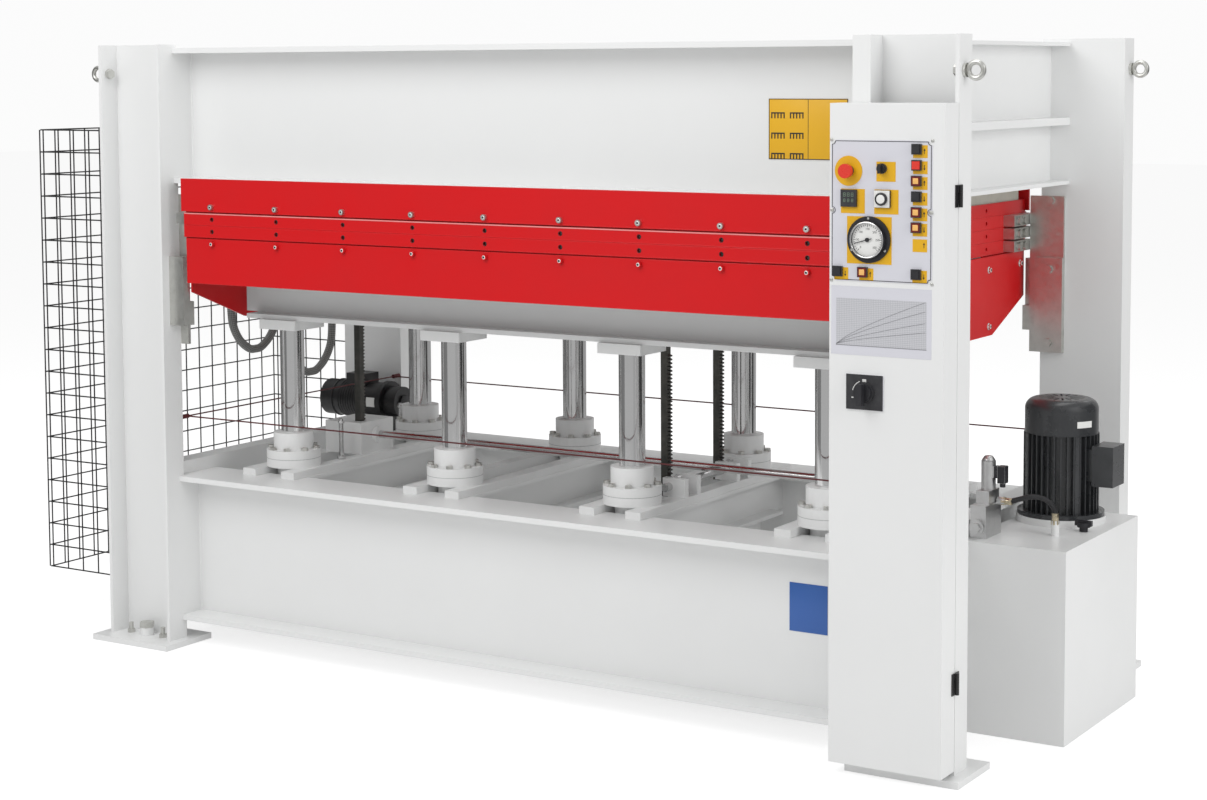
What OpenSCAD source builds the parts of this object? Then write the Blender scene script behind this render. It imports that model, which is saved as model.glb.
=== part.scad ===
/* [Frame] */
// Gap between the platens' ends and the columns
bay_play = 75; // [70:5:90]
// How far the platens stand out past the columns' inner faces
platen_past = 56; // [48:2:58]
// Clear height left between the base and the lowered table
down_gap = 200.5; // [196:0.5:210]
// Width of a column channel across its web
column_w = 280; // [270:5:300]
// Depth of a column channel across its flanges
column_d = 88; // [86:1:96]
// Web thickness of a column channel
column_web_t = 10; // [8:1:12]
// Flange thickness of a column channel
column_flange_t = 12; // [10:1:14]
// Thickness of the foot plates
foot_t = 20; // [16:1:24]
// Diameter of the anchor hole in each foot plate
anchor_d = 22; // [18:1:26]

/* [Beams] */
// Height of the base's top face above the floor
base_top = 595; // [590:1:600]
// Gap between the floor and the base's long beams
base_clear = 84; // [75:1:95]
// Section height of the upper long beams
upper_beam_h = 466; // [460:2:470]
// Flange width of the long beams
beam_w = 208; // [200:2:216]
// Flange thickness of the long beams
beam_flange_t = 18; // [16:1:20]
// Web thickness of the long beams
beam_web_t = 12; // [10:1:14]

/* [Platens] */
// Length of the platens
platen_l = 2520; // [2500:5:2524]
// Width of the two middle platens, front to rear
platen_w = 1376; // [1372:1:1376]
// Thickness of each platen
platen_t = 41.5; // [40:0.5:42]
// Opening between two platens when the table is down
daylight = 115; // [100:1:117]
// Thickness of the insulation above the upper platen
insulation_t = 56; // [50:1:60]

/* [Cylinders] */
// Distance from the platens' ends to the outer cylinders' axes
cyl_end = 210; // [205:5:220]
// Distance from the base beams' inner edges to the cylinders' axes
cyl_inset = 70; // [70:1:78]
// Diameter of the piston rods
rod_d = 85; // [80:1:88]
// Wall thickness of the cylinder barrels
barrel_wall = 10; // [9:0.5:10]
// How far the cylinder flanges stand out past the barrels
flange_rim = 37.5; // [36.5:0.5:40]
// Bolts on each cylinder flange
head_bolt_count = 8; // [6:1:8]

/* [Synchronising gear] */
// Module of the rack and pinion teeth
gear_module = 4; // [4]
// Teeth on each pinion
pinion_teeth = 13; // [13]
// Diameter of the synchronising shafts
shaft_d = 28; // [24:1:28]

/* [Hydraulic unit] */
// Length of the oil tank, out from the frame
tank_l = 328; // [320:2:340]
// Width of the oil tank, front to rear
tank_w = 640; // [630:5:650]
// Height of the oil tank with its lid
tank_h = 586; // [580:2:592]
// Diameter of the pump motor over its fins
motor_d = 234; // [230:2:240]
// Number of cooling fins on the pump motor
motor_fins = 36; // [24:2:40]

/* [Control door] */
// How far the control door reaches past its column
door_over = 67; // [60:1:70]
// Depth of the control door's tray
door_d = 93; // [88:1:96]
// Sheet thickness of the control door
door_sheet = 2.5; // [2:0.5:3]

/* [Guard] */
// How far the guard stands out from the left columns
guard_reach = 379; // [370:1:390]
// Height of the guard's lower edge
guard_z = 200; // [180:5:220]
// Spacing of the guard's upright wires
guard_cell_w = 75; // [70:1:80]
// Spacing of the guard's level wires
guard_cell_h = 80; // [76:1:84]
// Diameter of the guard's wires
wire_d = 5; // [4:0.5:6]

/* [Hidden] */
$fn = 48;

paint_white = [0.88, 0.89, 0.88];
paint_red = [0.83, 0.10, 0.13];
steel = [0.72, 0.73, 0.74];
zinc = [0.66, 0.67, 0.65];
dark_grey = [0.22, 0.23, 0.24];
black = [0.06, 0.06, 0.06];
yellow = [0.95, 0.78, 0.10];

// Running clearance on the radius of a shaft or a rod
run_gap = 0.05;
// Small working gap between pieces that pass each other
gap = 0.3;
// Root gap of the welds, so that each section stays a solid of its own
weld_gap = 0.2;

// Platens, counted 0 to 3 from the top
platen_gap = 0.5;
platen_pitch = platen_t + platen_gap;
half_l = platen_l / 2;
half_w = platen_w / 2;
stroke = 3 * daylight;

// Height of the frame, from the stack of pieces between the floor and the columns' tops
table_h = 258;
top_step = 12;
stack_h = 4 * platen_pitch - platen_gap;
frame_h = base_top + down_gap + stroke + table_h + stack_h + insulation_t + upper_beam_h + top_step;

// Faces of the columns, as distances from the centre of the press
bay_len = platen_l + 2 * bay_play;
bay_dep = platen_w - 2 * platen_past;
col_in = bay_len / 2;
col_out = col_in + column_w;
col_back = bay_dep / 2;
col_front = col_back + column_d;
col_mid_x = (col_in + col_out) / 2;
recess_in = 35;
eye_drop = 100;
eye_shank_d = 20;
recess_y = col_front - recess_in;
foot_half_l = column_w / 2 + recess_in;
foot_in = 87;
foot_out = 55;
anchor_in = 42;
stud_in = 65;
stud_x = column_w / 2 - stud_in;

// Long beams
end_plate_t = 20;
beam_front = col_back + 21;
beam_mid_y = beam_front - beam_w / 2;
beam_inner = beam_front - beam_w;
web_inner = beam_mid_y - beam_web_t / 2;
base_bottom = base_clear;
upper_top = frame_h - top_step;
upper_bottom = upper_top - upper_beam_h;
cross_h = 300;
cross_w = 120;
cross_t = 14;
cross_web = 10;
cross_end = 60;
cross_pitch = (half_l - cross_end) / 3;
cross_x = [for (k = [-3 : 3]) k * cross_pitch];

// Channels that close the two ends of the frame
end_web_t = 8;
end_flange_t = 12;
end_flange_w = 75;
end_x = col_in + end_plate_t;
end_out = end_x + end_flange_w;
ledge_h = 208;
end_channel_h = 250;
end_step = 45;
upper_ledge = upper_bottom + ledge_h;
base_end_top = base_top + end_step;
base_end_mid = base_end_top - end_channel_h;
base_end_low = base_end_mid - end_channel_h;

// Levels of the platens when the press is closed
platen_top = upper_bottom - insulation_t;
function platen_z(i) = platen_top - (i + 1) * platen_pitch + platen_gap;
function platen_mid(i) = platen_z(i) + platen_t / 2;
edge_plate_t = 10;
skirt_t = 8;
narrow_w = platen_w - 2 * edge_plate_t;
edge_stations = 9;
edge_margin = 126;
edge_pitch = (platen_l - 2 * edge_margin) / (edge_stations - 1);
edge_hole_d = 13;
edge_hole_deep = 40;
cyl_y = beam_inner - cyl_inset;
end_hole_in = 33;
end_hole_y = cyl_y - end_hole_in;

// Lugs on the platens' ends, and the stepped hangers that catch them
lug_t = 38;
lug_trim = 5.5;
lug_h = platen_t - lug_trim;
lug_root = 201;
lug_back = [0, 3, 33, 57];
lug_bolt_back = [168, 122];
hanger_back = [55, 31, 2];
lug_start = half_w - lug_root;
lug_tip = [for (b = lug_back) half_w - b];
lug_bolt_y = [for (b = lug_bolt_back) half_w - b];
hanger_gap = 11;
hanger_x = half_l + hanger_gap;
hanger_y = [for (b = hanger_back) half_w - b];
catch_gap = 0.5;
hanger_below = 82.25;
hanger_foot = catch_z(2) - hanger_below;

// Cylinders
cyl_pitch_x = (platen_l - 2 * cyl_end) / 3;
station_x = [-1.5 * cyl_pitch_x, -0.5 * cyl_pitch_x, 0.5 * cyl_pitch_x, 1.5 * cyl_pitch_x];
bore_d = rod_d + 10;
barrel_d = bore_d + 2 * barrel_wall;
cyl_flange_d = barrel_d + 2 * flange_rim;
rail_t = 25;
rail_w = 56;
rail_in = barrel_d / 2 + 0.5;
rail_lap = 70;
rail_half_l = beam_inner + rail_lap;
channel_w = 60;
channel_h = 140;
channel_t = 12;
channel_web = 8;
rail_top = base_top + rail_t;
flange_tier = 30;
seat_z = rail_top + flange_tier;
head_z = seat_z + flange_tier;
collar_step = 50;
collar_d = cyl_flange_d - collar_step;
head_h = 60;
head_top = head_z + head_h;
piston_h = 40;
rod_foot = base_top + 5;
barrel_floor = rod_foot - stroke - 20;
barrel_cap = 20;
head_bolt_edge = 25;
head_bolt_pcd = cyl_flange_d - head_bolt_edge;
head_bolt_d = 12;
head_bolt_deep = 12;

// Moving table
table_top = platen_z(3);
table_bottom = table_top - table_h;
table_inset = 60;
table_half_l = half_l - table_inset;
table_flange_w = 130;
table_flange_t = 16;
table_web_t = 12;
rod_plate_t = 34;
rod_plate_w = 160;
rib_t = 24;
rib_h = 120;
rib_back = 48;
rib_half_w = half_w - rib_back;
rib_inner = cyl_y - table_web_t / 2 - weld_gap;
rib_outer = cyl_y + table_web_t / 2 + weld_gap;
rib_z = [table_top - rib_h, table_top - table_flange_t - weld_gap];
skirt_bracket_w = 40;
skirt_bracket_l = 140;
skirt_bracket_y = [cyl_y - table_web_t / 2 - skirt_bracket_w, cyl_y - table_web_t / 2];
front_skirt_drop = 155;
skirt_top = 3.75;
front_skirt_half_l = half_l - skirt_t;
end_skirt_back = 38;
end_skirt_half_w = half_w - end_skirt_back;
end_skirt_corner = table_top - 153;
end_skirt_foot = table_top - 261;
end_skirt_cut = 272;
end_skirt_foot_w = end_skirt_half_w - end_skirt_cut;
skirt_bolt_in = 29;
skirt_bolt_z = [table_top - 46, table_top - 230];
skirt_bolt_edge = 37;

// Rack and pinion
pressure_angle = 20;
tooth_pitch = PI * gear_module;
pinion_r = gear_module * pinion_teeth / 2;
tooth_add = 0.7 * gear_module;
tooth_ded = gear_module;
backlash = 0.15;
rack_w = 24;
rack_back = 24;
rack_foot = base_top + 15;
rack_spare = 120;
rack_teeth = floor((stroke + rack_spare) / tooth_pitch);
pinion_gap = 6;
shaft_gap = 4;
cross_z = rail_top + pinion_r + pinion_gap;
long_z = cross_z + shaft_d + shaft_gap;
long_rack_x = cyl_pitch_x * 1.45;
cross_rack_in = 200;
cross_rack_y = cyl_y - cross_rack_in;
cross_shaft_off = 50;
cross_shaft_x = cyl_pitch_x / 2 + cross_shaft_off;
housing_in = 47;
housing_l = 164;
housing_x = [long_rack_x - housing_in, long_rack_x - housing_in + housing_l];
housing_y = 95;
housing_over = 25;
housing_h = long_z - rail_top + pinion_r + housing_over;
housing_wall = 12;
rib_x = [-long_rack_x, cross_shaft_x - pinion_r - tooth_ded - rack_back / 2, long_rack_x];

// Guide plates behind the columns
guide_x = [col_in - 34, col_in + 83];
guide_pad_x = col_in - 13;
guide_t = 12;
guide_top = upper_bottom - 40;
guide_below = 70;
guide_foot = hanger_foot - guide_below;
guide_pad_top = platen_z(3) - 21;
guide_bolt_x = col_in + 37;
guide_bolt_d = 16;
guide_bolt_top = guide_top - 15;
guide_bolt_low = [guide_pad_top - 38, guide_foot + 35];

// Hydraulic unit
lid_t = 8;
tank_wall = 5;
tank_x = end_out;
tank_offset = 80;
tank_y = [-tank_w / 2 + tank_offset, tank_w / 2 + tank_offset];
motor_ring_d = motor_d + 44;
motor_flange_d = motor_d + 36;
motor_in = 185;
motor_at = [tank_x + motor_ring_d / 2 + 1, tank_y[1] - motor_in];
motor_ring_t = 22;
motor_flange_t = 14;
motor_z = tank_h + motor_ring_t;
motor_body_h = 258;
motor_cover_h = 109;
motor_cover_d = motor_d - 6;
motor_top = motor_z + motor_body_h;
rotor_d = 40;
rotor_seat = motor_z + 32;
motor_boss = motor_d / 2 + 1;
box_face_x = motor_at[0] + motor_boss;
motor_rib_w = 14;
valve_w = 50;
valve_l = 120;
valve_h = 140;
valve_x = [tank_x + 5, tank_x + 5 + valve_w];
valve_y = [tank_y[0] + valve_w, tank_y[0] + valve_w + valve_l];
valve_top = tank_h + valve_h;
coil_d = 44;
coil_h = 88;
coil_at = [(valve_x[0] + valve_x[1]) / 2, valve_y[1] - 40];
plug_d = 46;
port_l = 25;
valve_port = [valve_x[1], valve_y[1] - port_l, tank_h + 104];
port_d = 24;
lid_port = [tank_x + 214, valve_y[1] + 42];
lid_port_h = 46;
cap_at = [tank_x + 267, motor_at[1] - 141];
pressure_hose_d = 16;
// Route of the pressure hose, measured from the end of the valve's port
pressure_route = [[0, 0, 0], [10, 0, 0], [40, 8, 8], [70, 22, 16], [96, 38, 14], [118, 54, 0],
    [131, 65, -24], [lid_port[0] - valve_port[0] - port_l, lid_port[1] - valve_port[1], -48],
    [lid_port[0] - valve_port[0] - port_l, lid_port[1] - valve_port[1],
    tank_h + lid_port_h - valve_port[2]]];

// Hoses that feed the middle platens at the left end
hose_d = 30;
nipple_d = 34;
nipple_l = 50;
hose_start_y = [0, -260, 60];
// Route of the upper platen hose, measured from the end of its nipple
upper_route = [[0, 0, 0], [-15, 0, 0], [-50, 0, -12], [-85, 0, -35], [-110, 0, -75], [-120, 0, -120],
    [-120, 0, -200], [-120, 0, -280], [-120, 0, -360], [-120, 10, -425], [-120, 45, -480],
    [-120, 95, -515], [-120, 130, -520], [-120, 165, -515], [-120, 215, -480], [-120, 250, -425],
    [-120, 260, -360], [-120, 260, -280], [-120, 260, -200], [-120, 260, -120], [-120, 260, -55]];
// Route of the lower platen hose, measured from the end of its nipple
lower_route = [[0, 0, 0], [-15, 0, 0], [-50, 0, -12], [-85, 0, -35], [-110, 0, -75], [-120, 0, -120],
    [-120, 0, -200], [-120, 0, -280], [-120, 0, -360], [-120, 0, -440], [-120, 10, -505],
    [-120, 45, -560], [-120, 95, -595], [-120, 130, -600], [-120, 165, -595], [-120, 215, -560],
    [-120, 250, -505], [-120, 260, -440], [-120, 260, -360], [-120, 260, -280], [-120, 260, -200],
    [-120, 260, -120], [-120, 260, -15]];
header_d = 48;
header_x = -half_l - nipple_l - 120;
header_z = platen_mid(1) + 5;
header_y = [-60, 400];
header_ports = [[0, platen_mid(1) - 55], [320, platen_mid(2) - 15]];
header_straps = [-40, 360];

// Gap between the guard's top and the columns' tops
guard_drop = 300;

// Circulation pump at the left rear corner
pump_in = 112;
pump_y = col_back - pump_in;
pump_h = 120;
pump_z = base_top + pump_h;
pump_motor_d = 140;
pump_motor_l = 280;
pump_rim = 16;
pump_rim_t = 20;
pump_head_d = 120;
pump_head_l = 60;
pump_box_l = 90;
pump_box_z = [50, 105];
pump_foot_w = 100;
pump_over = 15;

// Safety rope on four posts
rope_d = 5;
rope_y = col_back - 32;
rope_x = col_in + 10;
rope_z = base_top + 205;
rope_post_d = 16;

// Control door and its fittings
door_gap = 2;
door_w = column_w + door_over;
door_x = [col_out - door_w, col_out];
door_back = -(col_front + door_gap);
door_face = door_back - door_d;
door_low = 33;
door_drop = 190;
door_z = [door_low, frame_h - door_drop];
strip_x = col_in - 44;
strip_d = 18;
hinge_at = [col_out + 7, door_back + 1];
hinge_end = [252, 256];
hinge_z = [door_z[0] + hinge_end[0], door_z[1] - hinge_end[1]];
hinge_h = 62;
hinge_leaf_t = 3;
hinge_leaf_w = 24;
knuckle_d = 12;
hinge_pin_d = 6;
knuckle_half = 10;
panel_t = 2;
panel_x = [door_x[0] + 6, door_x[1] - 36];
gear_low = 367;
gear_drop = 210;
gear_z = [door_z[0] + gear_low, door_z[1] - gear_drop];
gear_edge = [30, 40, 72, 45];
gear_plate_t = 4;
gear_first = 200;
gear_step = 160;
contactor_d = 60;
contactor_h = 80;
terminal_d = 40;
terminal_h = 50;
terminal_z = 500;
supply_d = 66;
supply_w = 100;
supply_h = 200;
supply_x = 60;
supply_z = 160;
panel_drop = 102;
panel_h = 393;
panel_top = door_z[1] - panel_drop;
panel_z = [panel_top - panel_h, panel_top];
panel_notch = 12;
panel_face = door_face - panel_t;
chart_h = 193;
chart_gap = 15;
chart_z = [panel_z[0] - chart_gap - chart_h, panel_z[0] - chart_gap];
label_t = 0.8;
bezel_w = 29;
bezel_t = 8;
cap_w = 22;
selector_bezel_d = 29;
cap_t = 7;
cap_float = 5;
button_x = panel_x[1] - 45;
label_drop = [23, 67, 110, 153, 196, 238, 281];
label_z = [for (d = label_drop) panel_top - d];
label_w = 54;
label_h = 34;
low_row_up = 26;
low_row_z = panel_z[0] + low_row_up;
low_row_x = [panel_x[0] + 22, panel_x[0] + 99, button_x];
stop_at = [panel_x[0] + 53, panel_top - 86];
stop_label_d = 84;
stop_head_d = 40;
stop_stem_d = 22;
selector_at = [panel_x[0] + 156, panel_top - 78];
controller_at = [panel_x[0] + 56, panel_top - 162];
timer_at = [panel_x[0] + 158, panel_top - 162];
instrument_w = 48;
gauge_at = [panel_x[0] + 117, panel_top - 276];
gauge_d = 104;
gauge_flange_d = 130;
gauge_depth = 20;
dial_depth = 10;
needle_pin_d = 4;
switch_drop = 103;
switch_at = [panel_x[0] + 105, chart_z[0] - switch_drop];
switch_plate = [112, 99];
switch_t = 5;
switch_boss_d = 60;
switch_boss_t = 8;
button_cells = [[button_x, label_z[0]], [button_x, label_z[1]], [low_row_x[0], low_row_z],
    [low_row_x[2], low_row_z], [button_x, label_z[3]]];
lamp_cells = [[button_x, label_z[2]], [button_x, label_z[4]], [button_x, label_z[5]],
    [low_row_x[1], low_row_z]];

// A box between two limits on each axis
module block(x, y, z) {
    translate([x[0], y[0], z[0]])
        cube([x[1] - x[0], y[1] - y[0], z[1] - z[0]]);
}

// Four copies, one in each quarter of the plan
module corners() {
    for (mx = [0, 1], my = [0, 1])
        mirror([mx, 0, 0]) mirror([0, my, 0]) children();
}

// Two copies, front and rear
module front_rear() {
    for (my = [0, 1])
        mirror([0, my, 0]) children();
}

// Two copies, left and right
module left_right() {
    for (mx = [0, 1])
        mirror([mx, 0, 0]) children();
}

// A round bar along X, starting at a point
module bar_x(at, d, l) {
    translate(at) rotate([0, 90, 0]) cylinder(d = d, h = l);
}

// A round bar along Y, starting at a point
module bar_y(at, d, l) {
    translate(at) rotate([-90, 0, 0]) cylinder(d = d, h = l);
}

// A hexagonal head or nut with its axis along Z
module hex_z(at, flats, h) {
    translate(at) cylinder(d = flats / cos(30), h = h, $fn = 6);
}

// A hexagonal head or nut with its axis along Y
module hex_y(at, flats, h) {
    translate(at) rotate([-90, 0, 0]) cylinder(d = flats / cos(30), h = h, $fn = 6);
}

// A hexagonal head or nut with its axis along X
module hex_x(at, flats, h) {
    translate(at) rotate([0, 90, 0]) cylinder(d = flats / cos(30), h = h, $fn = 6);
}

// Children at each of the eight cylinders
module at_cylinders() {
    for (x = station_x, y = [-cyl_y, cyl_y])
        translate([x, y, 0]) children();
}

// Children at each bolt of each cylinder flange
module at_head_bolts() {
    at_cylinders()
        for (i = [0 : head_bolt_count - 1])
            rotate(360 * (i + 0.5) / head_bolt_count) translate([head_bolt_pcd / 2, 0, 0]) children();
}

// Places of the edge screws along the platens
function edge_x(i) = (i - (edge_stations - 1) / 2) * edge_pitch;

// One step of a frame that turns as little as it can along a route
function unit(v) = v / norm(v);
function route_dir(p, i) = unit(p[min(i + 1, len(p) - 1)] - p[max(i - 1, 0)]);
function square_to(v, t) = unit(v - (v * t) * t);

// A round tube along a list of points, as one closed solid
module tube(p, d, sides = 10) {
    n = len(p);
    normals = [for (i = 0, v = square_to([0, 1, 0.01], route_dir(p, 0)); i < n;
        i = i + 1, v = i < n ? square_to(v, route_dir(p, i)) : v) v];
    points = [for (i = [0 : n - 1]) let (t = route_dir(p, i), u = normals[i], w = cross(t, u))
        for (k = [0 : sides - 1]) let (a = 360 * k / sides)
            p[i] + d / 2 * (cos(a) * u + sin(a) * w)];
    walls = [for (i = [0 : n - 2], k = [0 : sides - 1]) let (a = i * sides, j = (k + 1) % sides)
        [a + k, a + sides + k, a + sides + j, a + j]];
    ends = [[for (k = [0 : sides - 1]) k], [for (k = [sides - 1 : -1 : 0]) (n - 1) * sides + k]];
    polyhedron(points, concat(walls, ends), convexity = 6);
}

// Angle of an involute flank, in degrees
function involute(a) = tan(a) * 180 / PI - a;
function polar(r, a) = [r * cos(a), r * sin(a)];

// Outline of a pinion with one tooth along +X
module pinion_outline() {
    base_r = pinion_r * cos(pressure_angle);
    tip_r = pinion_r + tooth_add;
    root_r = pinion_r - tooth_ded;
    half = 90 / pinion_teeth - backlash / pinion_r * 180 / PI + involute(pressure_angle);
    radii = [for (k = [0 : 4]) base_r + (tip_r - base_r) * k / 4];
    widths = [for (r = radii) half - involute(acos(base_r / r))];
    polygon([for (i = [0 : pinion_teeth - 1]) let (a = 360 * i / pinion_teeth)
        each concat([polar(root_r, a - widths[0])],
            [for (k = [0 : 4]) polar(radii[k], a - widths[k])],
            [for (k = [4 : -1 : 0]) polar(radii[k], a + widths[k])],
            [polar(root_r, a + widths[0])])]);
}

// Outline of a rack along +Y, its teeth towards +X, its pitch line at X 0
module rack_outline(z_gear, z_top) {
    slope = tan(pressure_angle);
    half_tip = tooth_pitch / 4 - backlash - tooth_add * slope;
    half_root = tooth_pitch / 4 - backlash + tooth_ded * slope;
    first = floor((rack_foot - z_gear) / tooth_pitch) + 1.5;
    teeth = [for (k = [0 : rack_teeth - 1]) z_gear + (first + k) * tooth_pitch];
    back = -tooth_ded - rack_back;
    polygon(concat([[back, z_top], [back, rack_foot], [-tooth_ded, rack_foot]],
        [for (z = teeth) each [[-tooth_ded, z - half_root], [tooth_add, z - half_tip],
            [tooth_add, z + half_tip], [-tooth_ded, z + half_root]]],
        [[-tooth_ded, z_top]]));
}

// One column channel in the rear right quarter, open to the rear
module column_channel() {
    difference() {
        union() {
            block([col_in, col_out], [col_back, col_back + column_web_t], [foot_t, frame_h]);
            block([col_in, col_in + column_flange_t], [col_back, col_front], [foot_t, frame_h]);
            block([col_out - column_flange_t, col_out], [col_back, col_front], [foot_t, frame_h]);
        }
        bar_x([col_in + column_w / 2, recess_y, frame_h - eye_drop], eye_shank_d + 2 * gap, column_w);
        for (z = concat([guide_bolt_top], guide_bolt_low))
            bar_y([guide_bolt_x, col_back - 1, z], guide_bolt_d + 2 * gap, column_web_t + 2);
    }
}

module columns() {
    color(paint_white) {
        column_channel();
        mirror([1, 0, 0]) column_channel();
        mirror([1, 0, 0]) mirror([0, 1, 0]) column_channel();
    }
}

// The front right column carries a strip that the control door closes on
module column_front_right() {
    color(paint_white) {
        mirror([0, 1, 0]) column_channel();
        block([strip_x, col_in], [-col_front, -col_front + strip_d], [foot_t, frame_h]);
    }
}

module foot_plates() {
    color(paint_white)
        corners()
            difference() {
                union() {
                    block([col_mid_x - foot_half_l, col_mid_x + foot_half_l],
                        [col_back - foot_in, col_front + foot_out],
                        [0, foot_t]);
                    translate([col_mid_x, recess_y, 0]) cylinder(d = 46, h = foot_t + 28);
                }
                translate([col_mid_x, recess_y, -1]) cylinder(d = 30 + 2 * gap, h = foot_t + 30);
                translate([col_mid_x, col_back - anchor_in, -1]) cylinder(d = anchor_d, h = foot_t + 2);
            }
}

// Jack bolts and studs in the feet, guide plate bolts and the upper bands' screws
module frame_fasteners() {
    color(zinc) {
        corners() {
            translate([col_mid_x, recess_y, 0]) cylinder(d = 30, h = foot_t + 28);
            hex_z([col_mid_x, recess_y, foot_t + 28], 46, 19);
            for (dx = [-stud_x, stud_x]) {
                translate([col_mid_x + dx, recess_y, foot_t]) cylinder(d = 16, h = 36);
                hex_z([col_mid_x + dx, recess_y, foot_t], 24, 13);
            }
            hex_y([guide_bolt_x, col_back - guide_t - 10, guide_bolt_top], 24, 10);
            bar_y([guide_bolt_x, col_back - guide_t, guide_bolt_top], guide_bolt_d,
                guide_t + column_web_t - 1);
            for (z = guide_bolt_low) {
                hex_y([guide_bolt_x, col_back - 2 * guide_t - 10, z], 24, 10);
                bar_y([guide_bolt_x, col_back - 2 * guide_t, z], guide_bolt_d,
                    2 * guide_t + column_web_t - 1);
            }
        }
        front_rear()
            for (i = [0 : edge_stations - 1]) {
                bar_y([edge_x(i), platen_w / 2, platen_mid(0)], 19, 10);
                bar_y([edge_x(i), platen_w / 2 - edge_plate_t - 20, platen_mid(0)], 12,
                    edge_plate_t + 20);
            }
    }
}

module eye_bolts() {
    color(zinc)
        corners()
            translate([col_out, recess_y, frame_h - eye_drop]) {
                bar_x([-column_flange_t, 0, 0], eye_shank_d, column_flange_t);
                bar_x([0, 0, 0], 40, 8);
                hex_x([-column_flange_t - 16, 0, 0], 30, 16);
                translate([34, 0, 0]) rotate([90, 0, 0]) rotate_extrude()
                    translate([22, 0]) circle(d = 15);
            }
}

// A long beam of H section on the rear side, with the plates that close its two ends
module long_beam(z) {
    block([-col_in, col_in], [beam_inner, beam_front], [z[0], z[0] + beam_flange_t]);
    block([-col_in, col_in], [beam_inner, beam_front], [z[1] - beam_flange_t, z[1]]);
    block([-col_in, col_in], [web_inner, web_inner + beam_web_t], z);
    left_right()
        block([col_in, end_x], [beam_inner, col_back], z);
}

// An I beam across the top of the frame
module upper_cross_beam(x) {
    z = [upper_bottom, upper_bottom + cross_h];
    y = beam_inner - weld_gap;
    web_y = web_inner - weld_gap;
    block([x - cross_w / 2, x + cross_w / 2], [-y, y], [z[0], z[0] + cross_t]);
    block([x - cross_w / 2, x + cross_w / 2], [-y, y], [z[1] - cross_t, z[1]]);
    block([x - cross_web / 2, x + cross_web / 2], [-y, y], z);
    block([x - cross_web / 2, x + cross_web / 2], [-web_y, web_y],
        [z[0] + beam_flange_t + weld_gap, z[1]]);
}

module upper_frame() {
    color(paint_white) {
        front_rear() long_beam([upper_bottom, upper_top]);
        for (x = cross_x) upper_cross_beam(x);
    }
}

// A channel across one end of the frame, open to the outside
module end_channel(z) {
    block([end_x, end_x + end_web_t], [-col_back, col_back], z);
    block([end_x, end_out], [-col_back, col_back], [z[0], z[0] + end_flange_t]);
    block([end_x, end_out], [-col_back, col_back], [z[1] - end_flange_t, z[1]]);
}

// Two channels, one on the other, at each end of the top and of the base
module end_beams() {
    color(paint_white)
        left_right() {
            end_channel([upper_bottom, upper_ledge]);
            end_channel([upper_ledge, upper_top]);
            end_channel([base_end_low, base_end_mid]);
            end_channel([base_end_mid, base_end_top]);
        }
}

// A channel beside a cylinder row and the rail that the cylinders stand on
module cylinder_bearer() {
    z = [base_top - channel_h, base_top];
    x = [rail_in, rail_in + channel_w];
    y = [-beam_inner + weld_gap, beam_inner - weld_gap];
    web_y = web_inner - weld_gap;
    block([x[0], x[0] + channel_web], y, z);
    block([x[0], x[0] + channel_web], [-web_y, web_y], [z[0], z[1] - beam_flange_t - weld_gap]);
    block(x, y, [z[0], z[0] + channel_t]);
    block(x, y, [z[1] - channel_t, z[1]]);
    block([rail_in, rail_in + rail_w], y, [base_top, rail_top]);
    block([rail_in, rail_in + rail_w], [-rail_half_l, rail_half_l], [base_top + weld_gap, rail_top]);
}

module base_frame() {
    color(paint_white) {
        front_rear() long_beam([base_bottom, base_top]);
        for (x = station_x)
            translate([x, 0, 0]) left_right() cylinder_bearer();
    }
}

module insulation_board() {
    color([0.80, 0.78, 0.72])
        block([-half_l + 10, half_l - 10], [-beam_front + 13, beam_front - 13],
            [platen_top, upper_bottom]);
}

// A platen with the screw holes of its long edges and the holes of its ends
module platen(i, w) {
    difference() {
        block([-half_l, half_l], [-w / 2, w / 2], [platen_z(i), platen_z(i) + platen_t]);
        front_rear()
            for (k = [0 : edge_stations - 1])
                bar_y([edge_x(k), w / 2 - edge_hole_deep, platen_mid(i)], edge_hole_d,
                    edge_hole_deep + 1);
        corners()
            bar_x([half_l - edge_hole_deep, end_hole_y, platen_mid(i)], edge_hole_d,
                edge_hole_deep + 1);
    }
}

module upper_platen() {
    color(paint_red) platen(0, narrow_w);
}

module middle_platen_upper() {
    color(paint_red) {
        platen(1, platen_w);
        bar_x([-half_l - nipple_l, hose_start_y[1], platen_mid(1)], nipple_d, nipple_l);
    }
}

module middle_platen_lower() {
    color(paint_red) {
        platen(2, platen_w);
        bar_x([-half_l - nipple_l, hose_start_y[2], platen_mid(2)], nipple_d, nipple_l);
    }
}

module lower_platen() {
    color(paint_red) platen(3, narrow_w);
}

// Plates along the front and the rear of the upper platen
module upper_edge_bands() {
    color(paint_red)
        front_rear()
            difference() {
                block([-half_l - 12, half_l + 12], [platen_w / 2 - edge_plate_t, platen_w / 2],
                    [platen_z(0) + 4, upper_bottom + 19]);
                for (k = [0 : edge_stations - 1])
                    bar_y([edge_x(k), platen_w / 2 - edge_plate_t - 1, platen_mid(0)], edge_hole_d,
                        edge_plate_t + 2);
            }
}

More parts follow.
